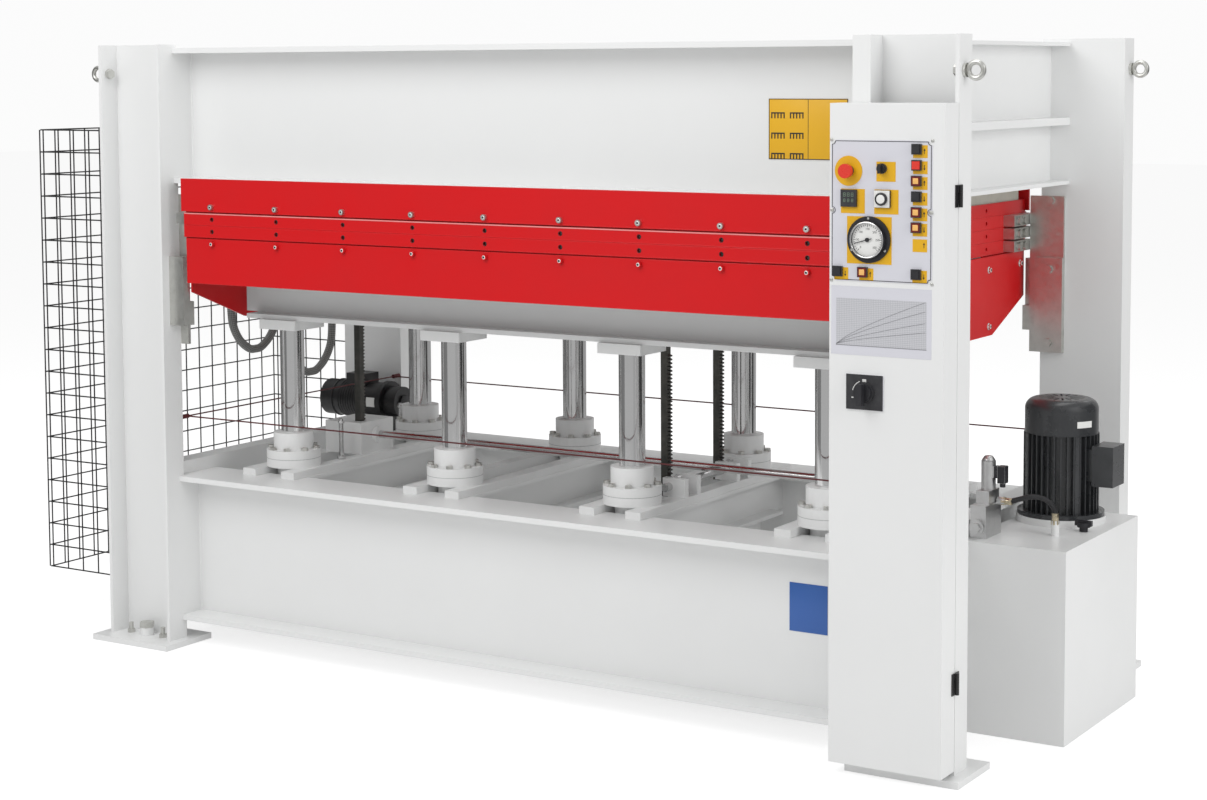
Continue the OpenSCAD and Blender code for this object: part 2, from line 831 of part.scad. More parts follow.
// Skirts round the table: straight ones front and rear, cut corners at the ends
module lower_skirts() {
    face = narrow_w / 2 + skirt_t;
    front_skirt_top = table_top + platen_t - skirt_top;
    color(paint_red) {
        front_rear() {
            block([-front_skirt_half_l, front_skirt_half_l], [narrow_w / 2, face],
                [front_skirt_top - front_skirt_drop, front_skirt_top]);
            for (k = [0 : edge_stations - 1])
                bar_y([edge_x(k), face, platen_mid(3)], 19, 10);
        }
        left_right() {
            translate([half_l, 0, 0]) rotate([90, 0, 90]) linear_extrude(skirt_t)
                polygon([[-end_skirt_half_w, table_top - 3], [end_skirt_half_w, table_top - 3],
                    [end_skirt_half_w, end_skirt_corner], [end_skirt_foot_w, end_skirt_foot],
                    [-end_skirt_foot_w, end_skirt_foot], [-end_skirt_half_w, end_skirt_corner]]);
            for (y = [skirt_bolt_in - cyl_y, cyl_y - skirt_bolt_in], z = skirt_bolt_z)
                hex_x([half_l + skirt_t, y, z], 19, 8);
            for (y = [skirt_bolt_edge - end_skirt_half_w, end_skirt_half_w - skirt_bolt_edge])
                hex_x([half_l + skirt_t, y, skirt_bolt_z[0] + 3], 19, 8);
        }
    }
}

// Lugs on the ends of a platen, with the two bolts that hold each
module lugs(i) {
    corners() {
        block([half_l, half_l + lug_t], [lug_start, lug_tip[i]],
            [platen_mid(i) - lug_h / 2, platen_mid(i) + lug_h / 2]);
        for (y = lug_bolt_y)
            hex_x([half_l + lug_t, y, platen_mid(i)], 24, 10);
    }
}

module lugs_upper() {
    color(zinc) lugs(1);
}

module lugs_lower() {
    color(zinc) lugs(2);
}

module table_lugs() {
    color(zinc) lugs(3);
}

// Height at which a lug comes to rest on its hanger
function catch_z(i) = platen_mid(i) - lug_h / 2 - i * daylight - catch_gap;

module step_hangers() {
    color(zinc)
        corners()
            translate([hanger_x, 0, 0]) rotate([90, 0, 90]) linear_extrude(col_in - hanger_x)
                polygon([[hanger_y[0], hanger_foot], [hanger_y[2], hanger_foot],
                    [hanger_y[2], catch_z(1)], [hanger_y[1], catch_z(1)],
                    [hanger_y[1], catch_z(2)], [hanger_y[0], catch_z(2)]]);
}

module guide_plates() {
    color(zinc)
        corners()
            difference() {
                union() {
                    block(guide_x, [col_back - guide_t, col_back], [guide_foot, guide_top]);
                    block([guide_pad_x, guide_x[1]], [col_back - 2 * guide_t, col_back - guide_t],
                        [guide_foot + 2, guide_pad_top]);
                }
                for (z = concat([guide_bolt_top], guide_bolt_low))
                    bar_y([guide_bolt_x, col_back - 2 * guide_t - 1, z], guide_bolt_d + 2 * gap,
                        2 * guide_t + 2);
            }
}

module cylinder_barrels() {
    color(paint_white)
        difference() {
            at_cylinders() {
                translate([0, 0, barrel_floor - barrel_cap])
                    cylinder(d = barrel_d, h = seat_z - barrel_floor + barrel_cap);
                translate([0, 0, rail_top]) cylinder(d = cyl_flange_d, h = flange_tier);
            }
            at_cylinders()
                translate([0, 0, barrel_floor]) cylinder(d = bore_d, h = seat_z - barrel_floor + 1);
            at_head_bolts()
                translate([0, 0, seat_z - head_bolt_deep])
                    cylinder(d = head_bolt_d + 2 * gap, h = head_bolt_deep + 1);
        }
}

module cylinder_heads() {
    color(paint_white)
        difference() {
            at_cylinders() {
                translate([0, 0, seat_z]) cylinder(d = cyl_flange_d, h = flange_tier);
                translate([0, 0, head_z]) cylinder(d = collar_d, h = head_top - head_z);
            }
            at_cylinders()
                translate([0, 0, seat_z - 1])
                    cylinder(d = rod_d + 2 * run_gap, h = head_top - seat_z + 2);
            at_head_bolts()
                translate([0, 0, seat_z - 1]) cylinder(d = head_bolt_d + 2 * gap, h = flange_tier + 2);
        }
}

module head_bolts() {
    color(zinc)
        at_head_bolts() {
            translate([0, 0, seat_z - head_bolt_deep])
                cylinder(d = head_bolt_d, h = head_bolt_deep + flange_tier);
            hex_z([0, 0, head_z], 20, 10);
        }
}

module piston_rods() {
    color(steel)
        at_cylinders() {
            translate([0, 0, rod_foot])
                cylinder(d = rod_d, h = table_bottom - rod_plate_t - rod_foot);
            translate([0, 0, rod_foot]) cylinder(d = bore_d - 2 * run_gap, h = piston_h);
        }
}

// Two long beams over the cylinder rows, cross ribs, rod plates and skirt brackets
module table_frame() {
    color(paint_white) {
        front_rear() {
            for (z = [table_bottom, table_top - table_flange_t])
                block([-table_half_l, table_half_l],
                    [cyl_y - table_flange_w / 2, cyl_y + table_flange_w / 2],
                    [z, z + table_flange_t]);
            block([-table_half_l, table_half_l],
                [cyl_y - table_web_t / 2, cyl_y + table_web_t / 2], [table_bottom, table_top]);
        }
        corners()
            block([half_l - skirt_bracket_l, half_l], skirt_bracket_y,
                [end_skirt_foot + 19, table_top - table_flange_t]);
        for (x = rib_x) {
            block([x - rib_t / 2, x + rib_t / 2], [-rib_inner, rib_inner], rib_z);
            front_rear()
                block([x - rib_t / 2, x + rib_t / 2], [rib_outer, rib_half_w], rib_z);
        }
        at_cylinders()
            block([-rod_plate_w / 2, rod_plate_w / 2], [-rod_plate_w / 2, rod_plate_w / 2],
                [table_bottom - rod_plate_t, table_bottom - weld_gap]);
    }
}

// Racks that hang from the table's ribs and turn the two shafts
module sync_racks() {
    color(dark_grey) {
        left_right()
            translate([long_rack_x - rack_w / 2, -pinion_r, 0]) rotate([90, 0, 90])
                linear_extrude(rack_w) rack_outline(long_z, table_top - rib_h);
        for (y = [-cross_rack_y, cross_rack_y])
            translate([cross_shaft_x - pinion_r, y + rack_w / 2, 0]) rotate([90, 0, 0])
                linear_extrude(rack_w) rack_outline(cross_z, table_top - rib_h);
    }
}

module sync_shaft_long() {
    color(steel) {
        bar_x([-housing_x[1] - 10, 0, long_z], shaft_d, 2 * (housing_x[1] + 10));
        for (x = [-long_rack_x, long_rack_x])
            translate([x - rack_w / 2, 0, long_z]) rotate([90, 0, 90])
                linear_extrude(rack_w) rotate(180) pinion_outline();
    }
}

module sync_shaft_cross() {
    color(steel) {
        bar_y([cross_shaft_x, -cross_rack_y - 80, cross_z], shaft_d, 2 * (cross_rack_y + 80));
        for (y = [-cross_rack_y, cross_rack_y])
            translate([cross_shaft_x, y + rack_w / 2, cross_z]) rotate([90, 0, 0])
                linear_extrude(rack_w) rotate(180) pinion_outline();
    }
}

// Housings of the long shaft's pinions, and bearing blocks of the cross shaft
module rack_housings() {
    slot_x = [long_rack_x - 18, long_rack_x + 18];
    slot_y = [-pinion_r - tooth_ded - rack_back - 4, pinion_r + 10];
    z = [rail_top, rail_top + housing_h];
    color(paint_white) {
        left_right()
            difference() {
                union() {
                    block(housing_x, [-housing_y, housing_y], z);
                    bar_x([housing_x[0] - 16, 0, long_z], 62, 16);
                }
                block([slot_x[0] - 8, slot_x[1] + 8], [slot_y[0] - 8, slot_y[1] + 8],
                    [z[0] - 1, z[1] - housing_wall]);
                block(slot_x, [slot_y[0], -pinion_r + 6], [z[0], z[1] + 1]);
                bar_x([housing_x[0] - 20, 0, long_z], shaft_d + 2 * run_gap, housing_l + 40);
            }
        front_rear()
            for (y = [cross_rack_y - 40, cross_rack_y + 40])
                difference() {
                    block([cross_shaft_x - 24, cross_shaft_x + 60], [y - 12, y + 12],
                        [rail_top, cross_z + 28]);
                    bar_y([cross_shaft_x, y - 20, cross_z], shaft_d + 2 * run_gap, 40);
                }
    }
}

module oil_tank() {
    color(paint_white)
        difference() {
            block([tank_x, tank_x + tank_l], tank_y, [0, tank_h - lid_t]);
            block([tank_x + tank_wall, tank_x + tank_l - tank_wall],
                [tank_y[0] + tank_wall, tank_y[1] - tank_wall], [tank_wall, tank_h]);
        }
}

module tank_lid() {
    color(paint_white) {
        block([tank_x, tank_x + tank_l], tank_y, [tank_h - lid_t, tank_h]);
        translate([motor_at[0], motor_at[1], tank_h]) cylinder(d = motor_ring_d, h = motor_ring_t);
        translate([lid_port[0], lid_port[1], tank_h]) cylinder(d = port_d, h = lid_port_h);
    }
}

// Finned motor that stands on the tank, with a flat boss for its terminal box
module pump_motor() {
    color(dark_grey)
        translate([motor_at[0], motor_at[1], 0])
            difference() {
                union() {
                    translate([0, 0, motor_z]) cylinder(d = motor_flange_d, h = motor_flange_t);
                    translate([0, 0, motor_z + motor_flange_t])
                        linear_extrude(motor_body_h - motor_flange_t) {
                            circle(d = motor_d - 32);
                            for (i = [0 : motor_fins - 1])
                                rotate(360 * i / motor_fins) translate([80, -2])
                                    square([motor_d / 2 - 80, 4]);
                            for (a = [-135, -45, 45, 135])
                                rotate(a) translate([80, -motor_rib_w / 2])
                                    square([motor_d / 2 - 80, motor_rib_w]);
                        }
                    block([70, motor_boss], [-42, 42], [motor_z + 116, motor_z + 216]);
                }
                translate([0, 0, rotor_seat]) cylinder(d = rotor_d + 2 * run_gap, h = motor_body_h);
            }
}

module motor_terminal_box() {
    z = [motor_z + 103, motor_z + 229];
    color(dark_grey)
        block([box_face_x, box_face_x + 68], [motor_at[1] - 52, motor_at[1] + 52], z);
}

// Round cap over the fan, with a ring of air slots in its top
module motor_fan_cover() {
    r = motor_cover_d / 2;
    wall = 3;
    bend = 34;
    color(dark_grey)
        translate([motor_at[0], motor_at[1], motor_top])
            difference() {
                rotate_extrude()
                    difference() {
                        union() {
                            square([r - bend, motor_cover_h]);
                            square([r, motor_cover_h - bend]);
                            translate([r - bend, motor_cover_h - bend]) circle(r = bend);
                        }
                        union() {
                            square([r - bend, motor_cover_h - wall]);
                            square([r - wall, motor_cover_h - bend]);
                            translate([r - bend, motor_cover_h - bend]) circle(r = bend - wall);
                        }
                        translate([-2 * r, -r]) square([2 * r, 4 * r]);
                    }
                for (i = [0 : 15])
                    rotate(22.5 * i) translate([26, -3, motor_cover_h - 10]) cube([44, 6, 20]);
            }
}

// Motor shaft with its cooling fan
module motor_rotor() {
    fan_z = motor_top + 22;
    color(black)
        translate([motor_at[0], motor_at[1], 0]) {
            translate([0, 0, rotor_seat]) cylinder(d = rotor_d, h = fan_z + 40 - rotor_seat);
            translate([0, 0, fan_z]) cylinder(d = 70, h = 36);
            translate([0, 0, fan_z]) cylinder(d = motor_cover_d - 48, h = 4);
            for (i = [0 : 7])
                rotate(45 * i) translate([30, -2, fan_z]) cube([motor_cover_d / 2 - 56, 4, 34]);
        }
}

// Drilled block with a screwed plug in its front and the port of the pressure hose
module valve_block() {
    color(steel) {
        block(valve_x, valve_y, [tank_h, valve_top - 40]);
        block([valve_x[0] + 4, valve_x[1] - 4], [valve_y[0] + 34, valve_y[1] - 6],
            [valve_top - 40, valve_top]);
        bar_x(valve_port, port_d, port_l);
        bar_y([coil_at[0], valve_y[0] - 14, tank_h + 36], plug_d, 14);
        hex_y([coil_at[0], valve_y[0] - 24, tank_h + 36], 27, 10);
    }
}

// Upright coil with its nut on top and its plug connector at the side
module solenoid_valve() {
    color(steel)
        translate([coil_at[0], coil_at[1], valve_top]) {
            cylinder(d = coil_d, h = coil_h);
            translate([0, 0, coil_h]) cylinder(d = coil_d - 14, h = 6);
            hex_z([0, 0, coil_h + 6], 19, 8);
            block([10, coil_d / 2 + 12], [-14, 14], [coil_h - 50, coil_h - 16]);
            block([coil_d / 2 + 12, coil_d / 2 + 36], [-15, 15], [coil_h - 66, coil_h - 14]);
        }
}

module filler_cap() {
    color(black)
        translate([cap_at[0], cap_at[1], tank_h]) {
            cylinder(d = 26, h = 14);
            translate([0, 0, 14]) cylinder(d = 40, h = 14);
            translate([-26, -8, 18]) cube([52, 16, 16]);
        }
}

module pressure_hose() {
    start = valve_port + [port_l, 0, 0];
    color(black)
        tube([for (p = pressure_route) start + p], pressure_hose_d);
}

// Wire guard round the left end, of three panels: upright wires outside, level wires inside
module guard_mesh() {
    x = -col_out - guard_reach;
    y = col_back + 8;
    side = floor((guard_reach - 20) / guard_cell_w);
    levels = floor((frame_h - guard_drop - guard_z) / guard_cell_h) + 1;
    uprights = floor(2 * y / guard_cell_w);
    wide = wire_d + weld_gap;
    turn = wire_d / 2 + weld_gap;
    span = (levels - 1) * guard_cell_h;
    color(black) {
        for (i = [0 : uprights])
            translate([x, (i - uprights / 2) * guard_cell_w, guard_z]) cylinder(d = wire_d, h = span);
        front_rear()
            for (i = [0 : side])
                translate([x + 20 + i * guard_cell_w, y, guard_z]) cylinder(d = wire_d, h = span);
        for (k = [0 : levels - 1]) {
            z = guard_z + k * guard_cell_h;
            bar_y([x + wide, -y + wide - wire_d / 2, z], wire_d, 2 * (y - wide) + wire_d);
            front_rear()
                bar_x([x + wide + turn, y - wide, z], wire_d, -col_out - x - wide - turn);
        }
    }
}

// Horizontal motor with its pump head and foot, on the base's rear beam
module circulation_pump() {
    color(black) {
        x = -col_in + pump_over;
        face = x + pump_rim_t;
        box_x = x - 75;
        bar_x([x - pump_motor_l, pump_y, pump_z], pump_motor_d, pump_motor_l);
        bar_x([x, pump_y, pump_z], pump_motor_d + pump_rim, pump_rim_t);
        bar_x([face, pump_y, pump_z], pump_head_d, pump_head_l);
        block([box_x - pump_box_l, box_x], [pump_y - pump_box_l / 2, pump_y + pump_box_l / 2],
            [pump_z + pump_box_z[0], pump_z + pump_box_z[1]]);
        block([-col_in + 1, face], [pump_y - pump_foot_w / 2, pump_y + pump_foot_w / 2],
            [base_top, pump_z]);
    }
}

// Pipe that feeds the platen hoses, hung from the upper end beam
module hose_header() {
    color(zinc) {
        bar_y([header_x, header_y[0], header_z], header_d, header_y[1] - header_y[0]);
        for (p = header_ports)
            translate([header_x, p[0], p[1]]) cylinder(d = nipple_d, h = header_z - p[1]);
        for (y = header_straps)
            block([-end_out + 2, header_x + 22], [y - 15, y + 15], [header_z, upper_bottom]);
    }
}

module platen_hose_upper() {
    start = [-half_l - nipple_l, hose_start_y[1], platen_mid(1)];
    color(dark_grey)
        tube([for (p = upper_route) start + p], hose_d);
}

module platen_hose_lower() {
    start = [-half_l - nipple_l, hose_start_y[2], platen_mid(2)];
    color(dark_grey)
        tube([for (p = lower_route) start + p], hose_d);
}

// Rope along the front, the left end and the rear, on posts at the columns
module safety_rope() {
    color(black) {
        corners()
            bar_y([rope_x, rope_y - 6, rope_z], rope_post_d, col_back - rope_y + 6);
        front_rear()
            bar_x([-rope_x, rope_y, rope_z], rope_d, 2 * rope_x);
        bar_y([-rope_x, -rope_y, rope_z], rope_d, 2 * rope_y);
    }
}

// Fixed leaf and pin of each door hinge
module hinge_column_leaves() {
    color(black)
        for (z = hinge_z)
            translate([0, 0, z]) {
                block([col_out, col_out + hinge_leaf_t],
                    [hinge_at[1] + knuckle_d / 2 + 1, hinge_at[1] + hinge_leaf_w],
                    [-hinge_h / 2, hinge_h / 2]);
                for (s = [[-hinge_h / 2, -knuckle_half - gap], [knuckle_half + gap, hinge_h / 2]]) {
                    translate([hinge_at[0], hinge_at[1], s[0]])
                        cylinder(d = knuckle_d, h = s[1] - s[0]);
                    block([col_out, col_out + hinge_leaf_t + 2],
                        [hinge_at[1] + 2, hinge_at[1] + knuckle_d / 2 + 2], s);
                }
                translate([hinge_at[0], hinge_at[1], -hinge_h / 2])
                    cylinder(d = hinge_pin_d, h = hinge_h);
            }
}

// Swinging leaf of each door hinge
module hinge_door_leaves() {
    color(black)
        for (z = hinge_z)
            translate([0, 0, z])
                difference() {
                    union() {
                        block([col_out, col_out + hinge_leaf_t],
                            [hinge_at[1] - hinge_leaf_w, hinge_at[1] - knuckle_d / 2 - 1],
                            [-hinge_h / 2, hinge_h / 2]);
                        block([col_out, col_out + hinge_leaf_t + 2],
                            [hinge_at[1] - knuckle_d / 2 - 2, hinge_at[1] - 2],
                            [-knuckle_half, knuckle_half]);
                        translate([hinge_at[0], hinge_at[1], -knuckle_half])
                            cylinder(d = knuckle_d, h = 2 * knuckle_half);
                    }
                    translate([hinge_at[0], hinge_at[1], -knuckle_half - 1])
                        cylinder(d = hinge_pin_d + 2 * run_gap, h = 2 * knuckle_half + 2);
                }
}

// Mounting plate with its rows of contactors and terminals, behind the control door
module control_gear() {
    y = -col_back - column_web_t;
    low = gear_z[0];
    pitch = (column_w - gear_edge[2]) / 4;
    color([0.75, 0.76, 0.76]) {
        block([col_in + gear_edge[0], col_out - gear_edge[0]], [y - gear_plate_t, y], gear_z);
        for (k = [0 : 2], i = [0 : 3]) {
            x = col_in + gear_edge[1] + i * pitch;
            z = gear_z[1] - gear_first - k * gear_step;
            block([x, x + pitch - gear_plate_t], [y - contactor_d, y - gear_plate_t], [z, z + contactor_h]);
        }
        block([col_in + gear_edge[3], col_out - gear_edge[3]], [y - terminal_d, y - gear_plate_t],
            [low + terminal_z, low + terminal_z + terminal_h]);
        block([col_in + supply_x, col_in + supply_x + supply_w], [y - supply_d, y - gear_plate_t],
            [low + supply_z, low + supply_z + supply_h]);
    }
}

module cabinet_door() {
    color(paint_white)
        difference() {
            block(door_x, [door_face, door_back], door_z);
            block([door_x[0] + door_sheet, door_x[1] - door_sheet],
                [door_face + door_sheet, door_back + 1],
                [door_z[0] + door_sheet, door_z[1] - door_sheet]);
        }
}

// A flat plate on the door, with its front face and thickness
module door_plate(x, z, face, t) {
    block(x, [face, face + t], z);
}

// A round stub standing out of the control panel
module panel_stub(at, d, y0, l) {
    bar_y([at[0], y0, at[1]], d, l);
}

// A square stub standing out of the control panel
module square_stub(at, w, y0, l) {
    block([at[0] - w / 2, at[0] + w / 2], [y0, y0 + l], [at[1] - w / 2, at[1] + w / 2]);
}

// Square frame that guides a button's cap
module bezel(at) {
    difference() {
        square_stub(at, bezel_w, panel_face - bezel_t, bezel_t);
        square_stub(at, cap_w + 2 * gap, panel_face - bezel_t - 1, bezel_t + 2);
    }
}

// Panel plate with notched corners, labels, bezels, lamps, instruments, chart and main switch
module control_panel() {
    n = panel_notch;
    px = panel_x;
    pz = panel_z;
    half = instrument_w / 2;
    color(steel) {
        translate([0, door_face, 0]) rotate([90, 0, 0]) linear_extrude(panel_t)
            polygon([[px[0] + n, pz[0]], [px[1] - n, pz[0]], [px[1] - n, pz[0] + n], [px[1], pz[0] + n],
                [px[1], pz[1] - n], [px[1] - n, pz[1] - n], [px[1] - n, pz[1]], [px[0] + n, pz[1]],
                [px[0] + n, pz[1] - n], [px[0], pz[1] - n], [px[0], pz[0] + n], [px[0] + n, pz[0] + n]]);
        door_plate(px, chart_z, door_face - label_t, label_t);
    }
    color(black) {
        for (at = button_cells) bezel(at);
        difference() {
            panel_stub(stop_at, 32, panel_face - bezel_t, bezel_t);
            panel_stub(stop_at, stop_stem_d + 2 * gap, panel_face - bezel_t - 1, bezel_t + 2);
        }
        difference() {
            panel_stub(selector_at, selector_bezel_d, panel_face - bezel_t, bezel_t);
            panel_stub(selector_at, 8 + 2 * run_gap, panel_face - bezel_t - 1, bezel_t);
        }
        door_plate([controller_at[0] - half, controller_at[0] + half],
            [controller_at[1] - half, controller_at[1] + half], panel_face - 8, 8);
        door_plate([timer_at[0] - half, timer_at[0] + half],
            [timer_at[1] - half, timer_at[1] + half], panel_face - 8, 8);
        panel_stub(timer_at, 36, panel_face - 14, 6);
    }
    color(yellow)
        for (at = lamp_cells) square_stub(at, bezel_w, panel_face - 10, 10);
    color(dark_grey) {
        door_plate([switch_at[0] - switch_plate[0] / 2, switch_at[0] + switch_plate[0] / 2],
            [switch_at[1] - switch_plate[1] / 2, switch_at[1] + switch_plate[1] / 2],
            door_face - switch_t, switch_t);
        difference() {
            panel_stub(switch_at, switch_boss_d, door_face - switch_t - switch_boss_t, switch_boss_t);
            panel_stub(switch_at, 12 + 2 * run_gap, door_face - switch_t - switch_boss_t - 1,
                switch_boss_t);
        }
    }
}

// Gauge case with its flange, dial well and needle pin
module pressure_gauge() {
    face = panel_face - gauge_depth;
    color(black)
        difference() {
            union() {
                panel_stub(gauge_at, gauge_d, face, gauge_depth);
                panel_stub(gauge_at, gauge_flange_d, panel_face - 6, 6);
            }
            panel_stub(gauge_at, gauge_d - 8, face - 1, dial_depth + 1);
        }
    color(steel) panel_stub(gauge_at, needle_pin_d, face + 3, dial_depth);
}

module gauge_needle() {
    y0 = panel_face - gauge_depth + 4;
    color(black)
        translate([gauge_at[0], 0, gauge_at[1]])
            difference() {
                union() {
                    bar_y([0, y0, 0], 12, 3);
                    rotate([0, -195, 0]) block([-14, 40], [y0, y0 + 1.5], [-1.2, 1.2]);
                }
                bar_y([0, y0 - 1, 0], needle_pin_d + 2 * run_gap, 6);
            }
}

module emergency_stop() {
    y0 = panel_face - bezel_t;
    color(paint_red) {
        panel_stub(stop_at, stop_stem_d, y0 - 6, bezel_t);
        panel_stub(stop_at, stop_head_d, y0 - 20, 14);
    }
}

module selector_knob() {
    y0 = panel_face - bezel_t;
    color(black)
        translate([selector_at[0], 0, selector_at[1]]) {
            bar_y([0, y0, 0], 8, bezel_t - 1.5);
            bar_y([0, y0 - 6 - gap, 0], 24, 6);
            bar_y([0, y0 - gap, 0], 8, gap);
            block([-4, 4], [y0 - 18, y0 - 6], [-13, 13]);
        }
}

module main_switch_handle() {
    y0 = door_face - switch_t - switch_boss_t;
    color(black)
        translate([switch_at[0], 0, switch_at[1]]) {
            bar_y([0, y0 - gap, 0], 12, switch_boss_t - 2);
            bar_y([0, y0 - gap - 8, 0], 52, 8);
            block([-8, 8], [y0 - 30, y0 - gap - 8], [-34, 26]);
        }
}

// Cap of a push button in its bezel
module button_cap(at) {
    square_stub(at, cap_w, panel_face - cap_float - cap_t, cap_t);
}

module start_button() {
    color(black) button_cap(button_cells[0]);
}

module stop_button() {
    color(paint_red) button_cap(button_cells[1]);
}

module raise_button() {
    color(black) button_cap(button_cells[2]);
}

module lower_button() {
    color(black) button_cap(button_cells[3]);
}

module reset_button() {
    color(black) button_cap(button_cells[4]);
}

columns();
column_front_right();
foot_plates();
frame_fasteners();
eye_bolts();
upper_frame();
end_beams();
insulation_board();
upper_platen();
upper_edge_bands();
base_frame();
cylinder_barrels();
cylinder_heads();
head_bolts();
guide_plates();
step_hangers();
rack_housings();
oil_tank();
tank_lid();
pump_motor();
motor_fan_cover();
motor_rotor();
motor_terminal_box();
valve_block();
solenoid_valve();
filler_cap();
pressure_hose();
guard_mesh();
circulation_pump();
hose_header();
platen_hose_upper();
platen_hose_lower();
safety_rope();
hinge_column_leaves();
control_gear();
table_frame();
lower_platen();
lower_skirts();
piston_rods();
sync_racks();
table_lugs();
middle_platen_upper();
lugs_upper();
middle_platen_lower();
lugs_lower();
sync_shaft_long();
sync_shaft_cross();
cabinet_door();
hinge_door_leaves();
control_panel();
pressure_gauge();
gauge_needle();
emergency_stop();
selector_knob();
main_switch_handle();
start_button();
stop_button();
raise_button();
lower_button();
reset_button();
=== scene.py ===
"""Looks of an upstroke hydraulic hot press: paint, metal, hoses, control door and pump unit."""

import logging
import math
from dataclasses import dataclass, field
from enum import Enum
from functools import cache

import bmesh
import bpy
from mathutils import Matrix, Vector


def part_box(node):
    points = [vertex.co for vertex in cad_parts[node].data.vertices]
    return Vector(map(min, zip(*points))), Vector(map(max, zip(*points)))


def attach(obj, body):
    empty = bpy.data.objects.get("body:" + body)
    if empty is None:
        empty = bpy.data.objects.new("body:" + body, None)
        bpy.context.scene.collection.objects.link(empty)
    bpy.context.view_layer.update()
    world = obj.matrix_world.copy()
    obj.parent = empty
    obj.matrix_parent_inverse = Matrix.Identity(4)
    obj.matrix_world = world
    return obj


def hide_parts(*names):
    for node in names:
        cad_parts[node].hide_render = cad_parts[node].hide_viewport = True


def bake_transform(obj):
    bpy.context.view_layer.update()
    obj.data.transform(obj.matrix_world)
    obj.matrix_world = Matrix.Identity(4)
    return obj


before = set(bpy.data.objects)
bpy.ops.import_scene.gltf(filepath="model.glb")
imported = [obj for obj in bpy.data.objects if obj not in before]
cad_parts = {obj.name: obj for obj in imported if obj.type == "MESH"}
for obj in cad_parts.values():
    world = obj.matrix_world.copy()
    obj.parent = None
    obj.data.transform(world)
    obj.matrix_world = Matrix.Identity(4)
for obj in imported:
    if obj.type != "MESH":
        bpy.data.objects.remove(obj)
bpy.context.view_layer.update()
LOG = logging.getLogger("press")
MM = 0.001
QUARTER = math.pi / 2
HEXAGON = 6
EDGE = 0.001
FINE_EDGE = 0.0008
Point = tuple[float, float, float]
# X and Z, low and high, or a radius and a length
Pair = tuple[float, float]
Colour = tuple[float, float, float]
Socket = bpy.types.NodeSocket
Outputs = bpy.types.NodeOutputs


class Axis(Enum):
    """Direction of a round or flat detail."""

    X = "x"
    Y = "y"
    Z = "z"


class Effect(Enum):
    """Shared shader effects, each one a node group."""

    MOTTLE = "Mottle"
    PEEL = "Orange peel"
    BRUSH = "Brush lines"
    BRAID = "Braid"


class Bench:
    """A node tree with short ways to add to it."""

    def __init__(self, tree: bpy.types.NodeTree) -> None:
        """Takes up the tree that gets the nodes."""
        self.tree = tree

    def node(self, kind: str, **settings: object) -> bpy.types.Node:
        """Adds a node.

        Args:
            kind: The node's type without its ShaderNode prefix.
            settings: Properties to set.

        Returns:
            The new node.
        """
        made = self.tree.nodes.new(f"ShaderNode{kind}")
        for key, value in settings.items():
            setattr(made, key, value)
        return made

    def feed(self, slot: Socket, value: object) -> None:
        """Links an output to an input, or sets the input's own value.

        Args:
            slot: The input.
            value: An output, a number, a vector or a colour.
        """
        if isinstance(value, Socket):
            self.tree.links.new(value, slot)
        elif slot.type == "RGBA" and len(value) == 3:
            slot.default_value = (*value, 1)
        else:
            slot.default_value = value

    def wire(self, node: bpy.types.Node, values: dict) -> Outputs:
        """Feeds a node's inputs.

        Args:
            node: The node.
            values: What each input gets, by its name or its number.

        Returns:
            The node's outputs.
        """
        for key, value in values.items():
            self.feed(node.inputs[key], value)
        return node.outputs

    def fill(self, node: bpy.types.Node, **values: object) -> Outputs:
        """Feeds a node's inputs by name, with words joined by underscores, and gives its outputs."""
        return self.wire(node, {key.replace("_", " "): value for key, value in values.items()})

    def math(self, operation: str, *values: object) -> Socket:
        """Adds a Math node for outputs or numbers and gives its result."""
        return self.wire(self.node("Math", operation=operation), dict(enumerate(values)))[0]

    def mix(self, factor: Socket, a: object, b: object) -> Socket:
        """Mixes two colours, of which the second shows as much as a factor says."""
        return self.wire(self.node("Mix", data_type="RGBA"), {0: factor, 6: a, 7: b})[2]


class GroupMaker(Bench):
    """Builds one shader node group with named sockets."""

    kinds = {3: "Vector", 4: "Color"}

    def __init__(self, effect: Effect, results: dict[str, str], **inputs: object) -> None:
        """Starts a group.

        Args:
            effect: Which effect the group makes.
            results: The type of each output.
            inputs: The value that each input has where nothing is linked.
        """
        super().__init__(bpy.data.node_groups.new(effect.value, "ShaderNodeTree"))
        self.socket("Vector", "INPUT", "Vector")
        for name, value in inputs.items():
            kind = "Float" if isinstance(value, float) else self.kinds[len(value)]
            self.socket(name, "INPUT", kind).default_value = value
        for name, kind in results.items():
            self.socket(name, "OUTPUT", kind)
        self.given = self.tree.nodes.new("NodeGroupInput").outputs
        self.result = self.tree.nodes.new("NodeGroupOutput")

    def socket(self, name: str, way: str, kind: str) -> bpy.types.NodeTreeInterfaceSocket:
        """Adds a socket of a kind such as Float, Color or Vector to the group."""
        return self.tree.interface.new_socket(name, in_out=way, socket_type=f"NodeSocket{kind}")

    def close(self, **results: Socket) -> bpy.types.NodeTree:
        """Feeds the group's outputs by name and gives the finished group."""
        self.fill(self.result, **results)
        return self.tree

    def noise(self, vector: Socket, scale: object, detail: float, rough: float = 0.5) -> Socket:
        """Adds a noise and gives its height."""
        made = self.node("TexNoise")
        return self.fill(made, Vector=vector, Scale=scale, Detail=detail, Roughness=rough)["Fac"]

    def clip(self, source: Socket, low: float, high: float) -> Socket:
        """Gives a mask that is 0 at a height's low value and 1 at its high one."""
        return self.fill(self.node("MapRange"), Value=source, From_Min=low, From_Max=high)["Result"]


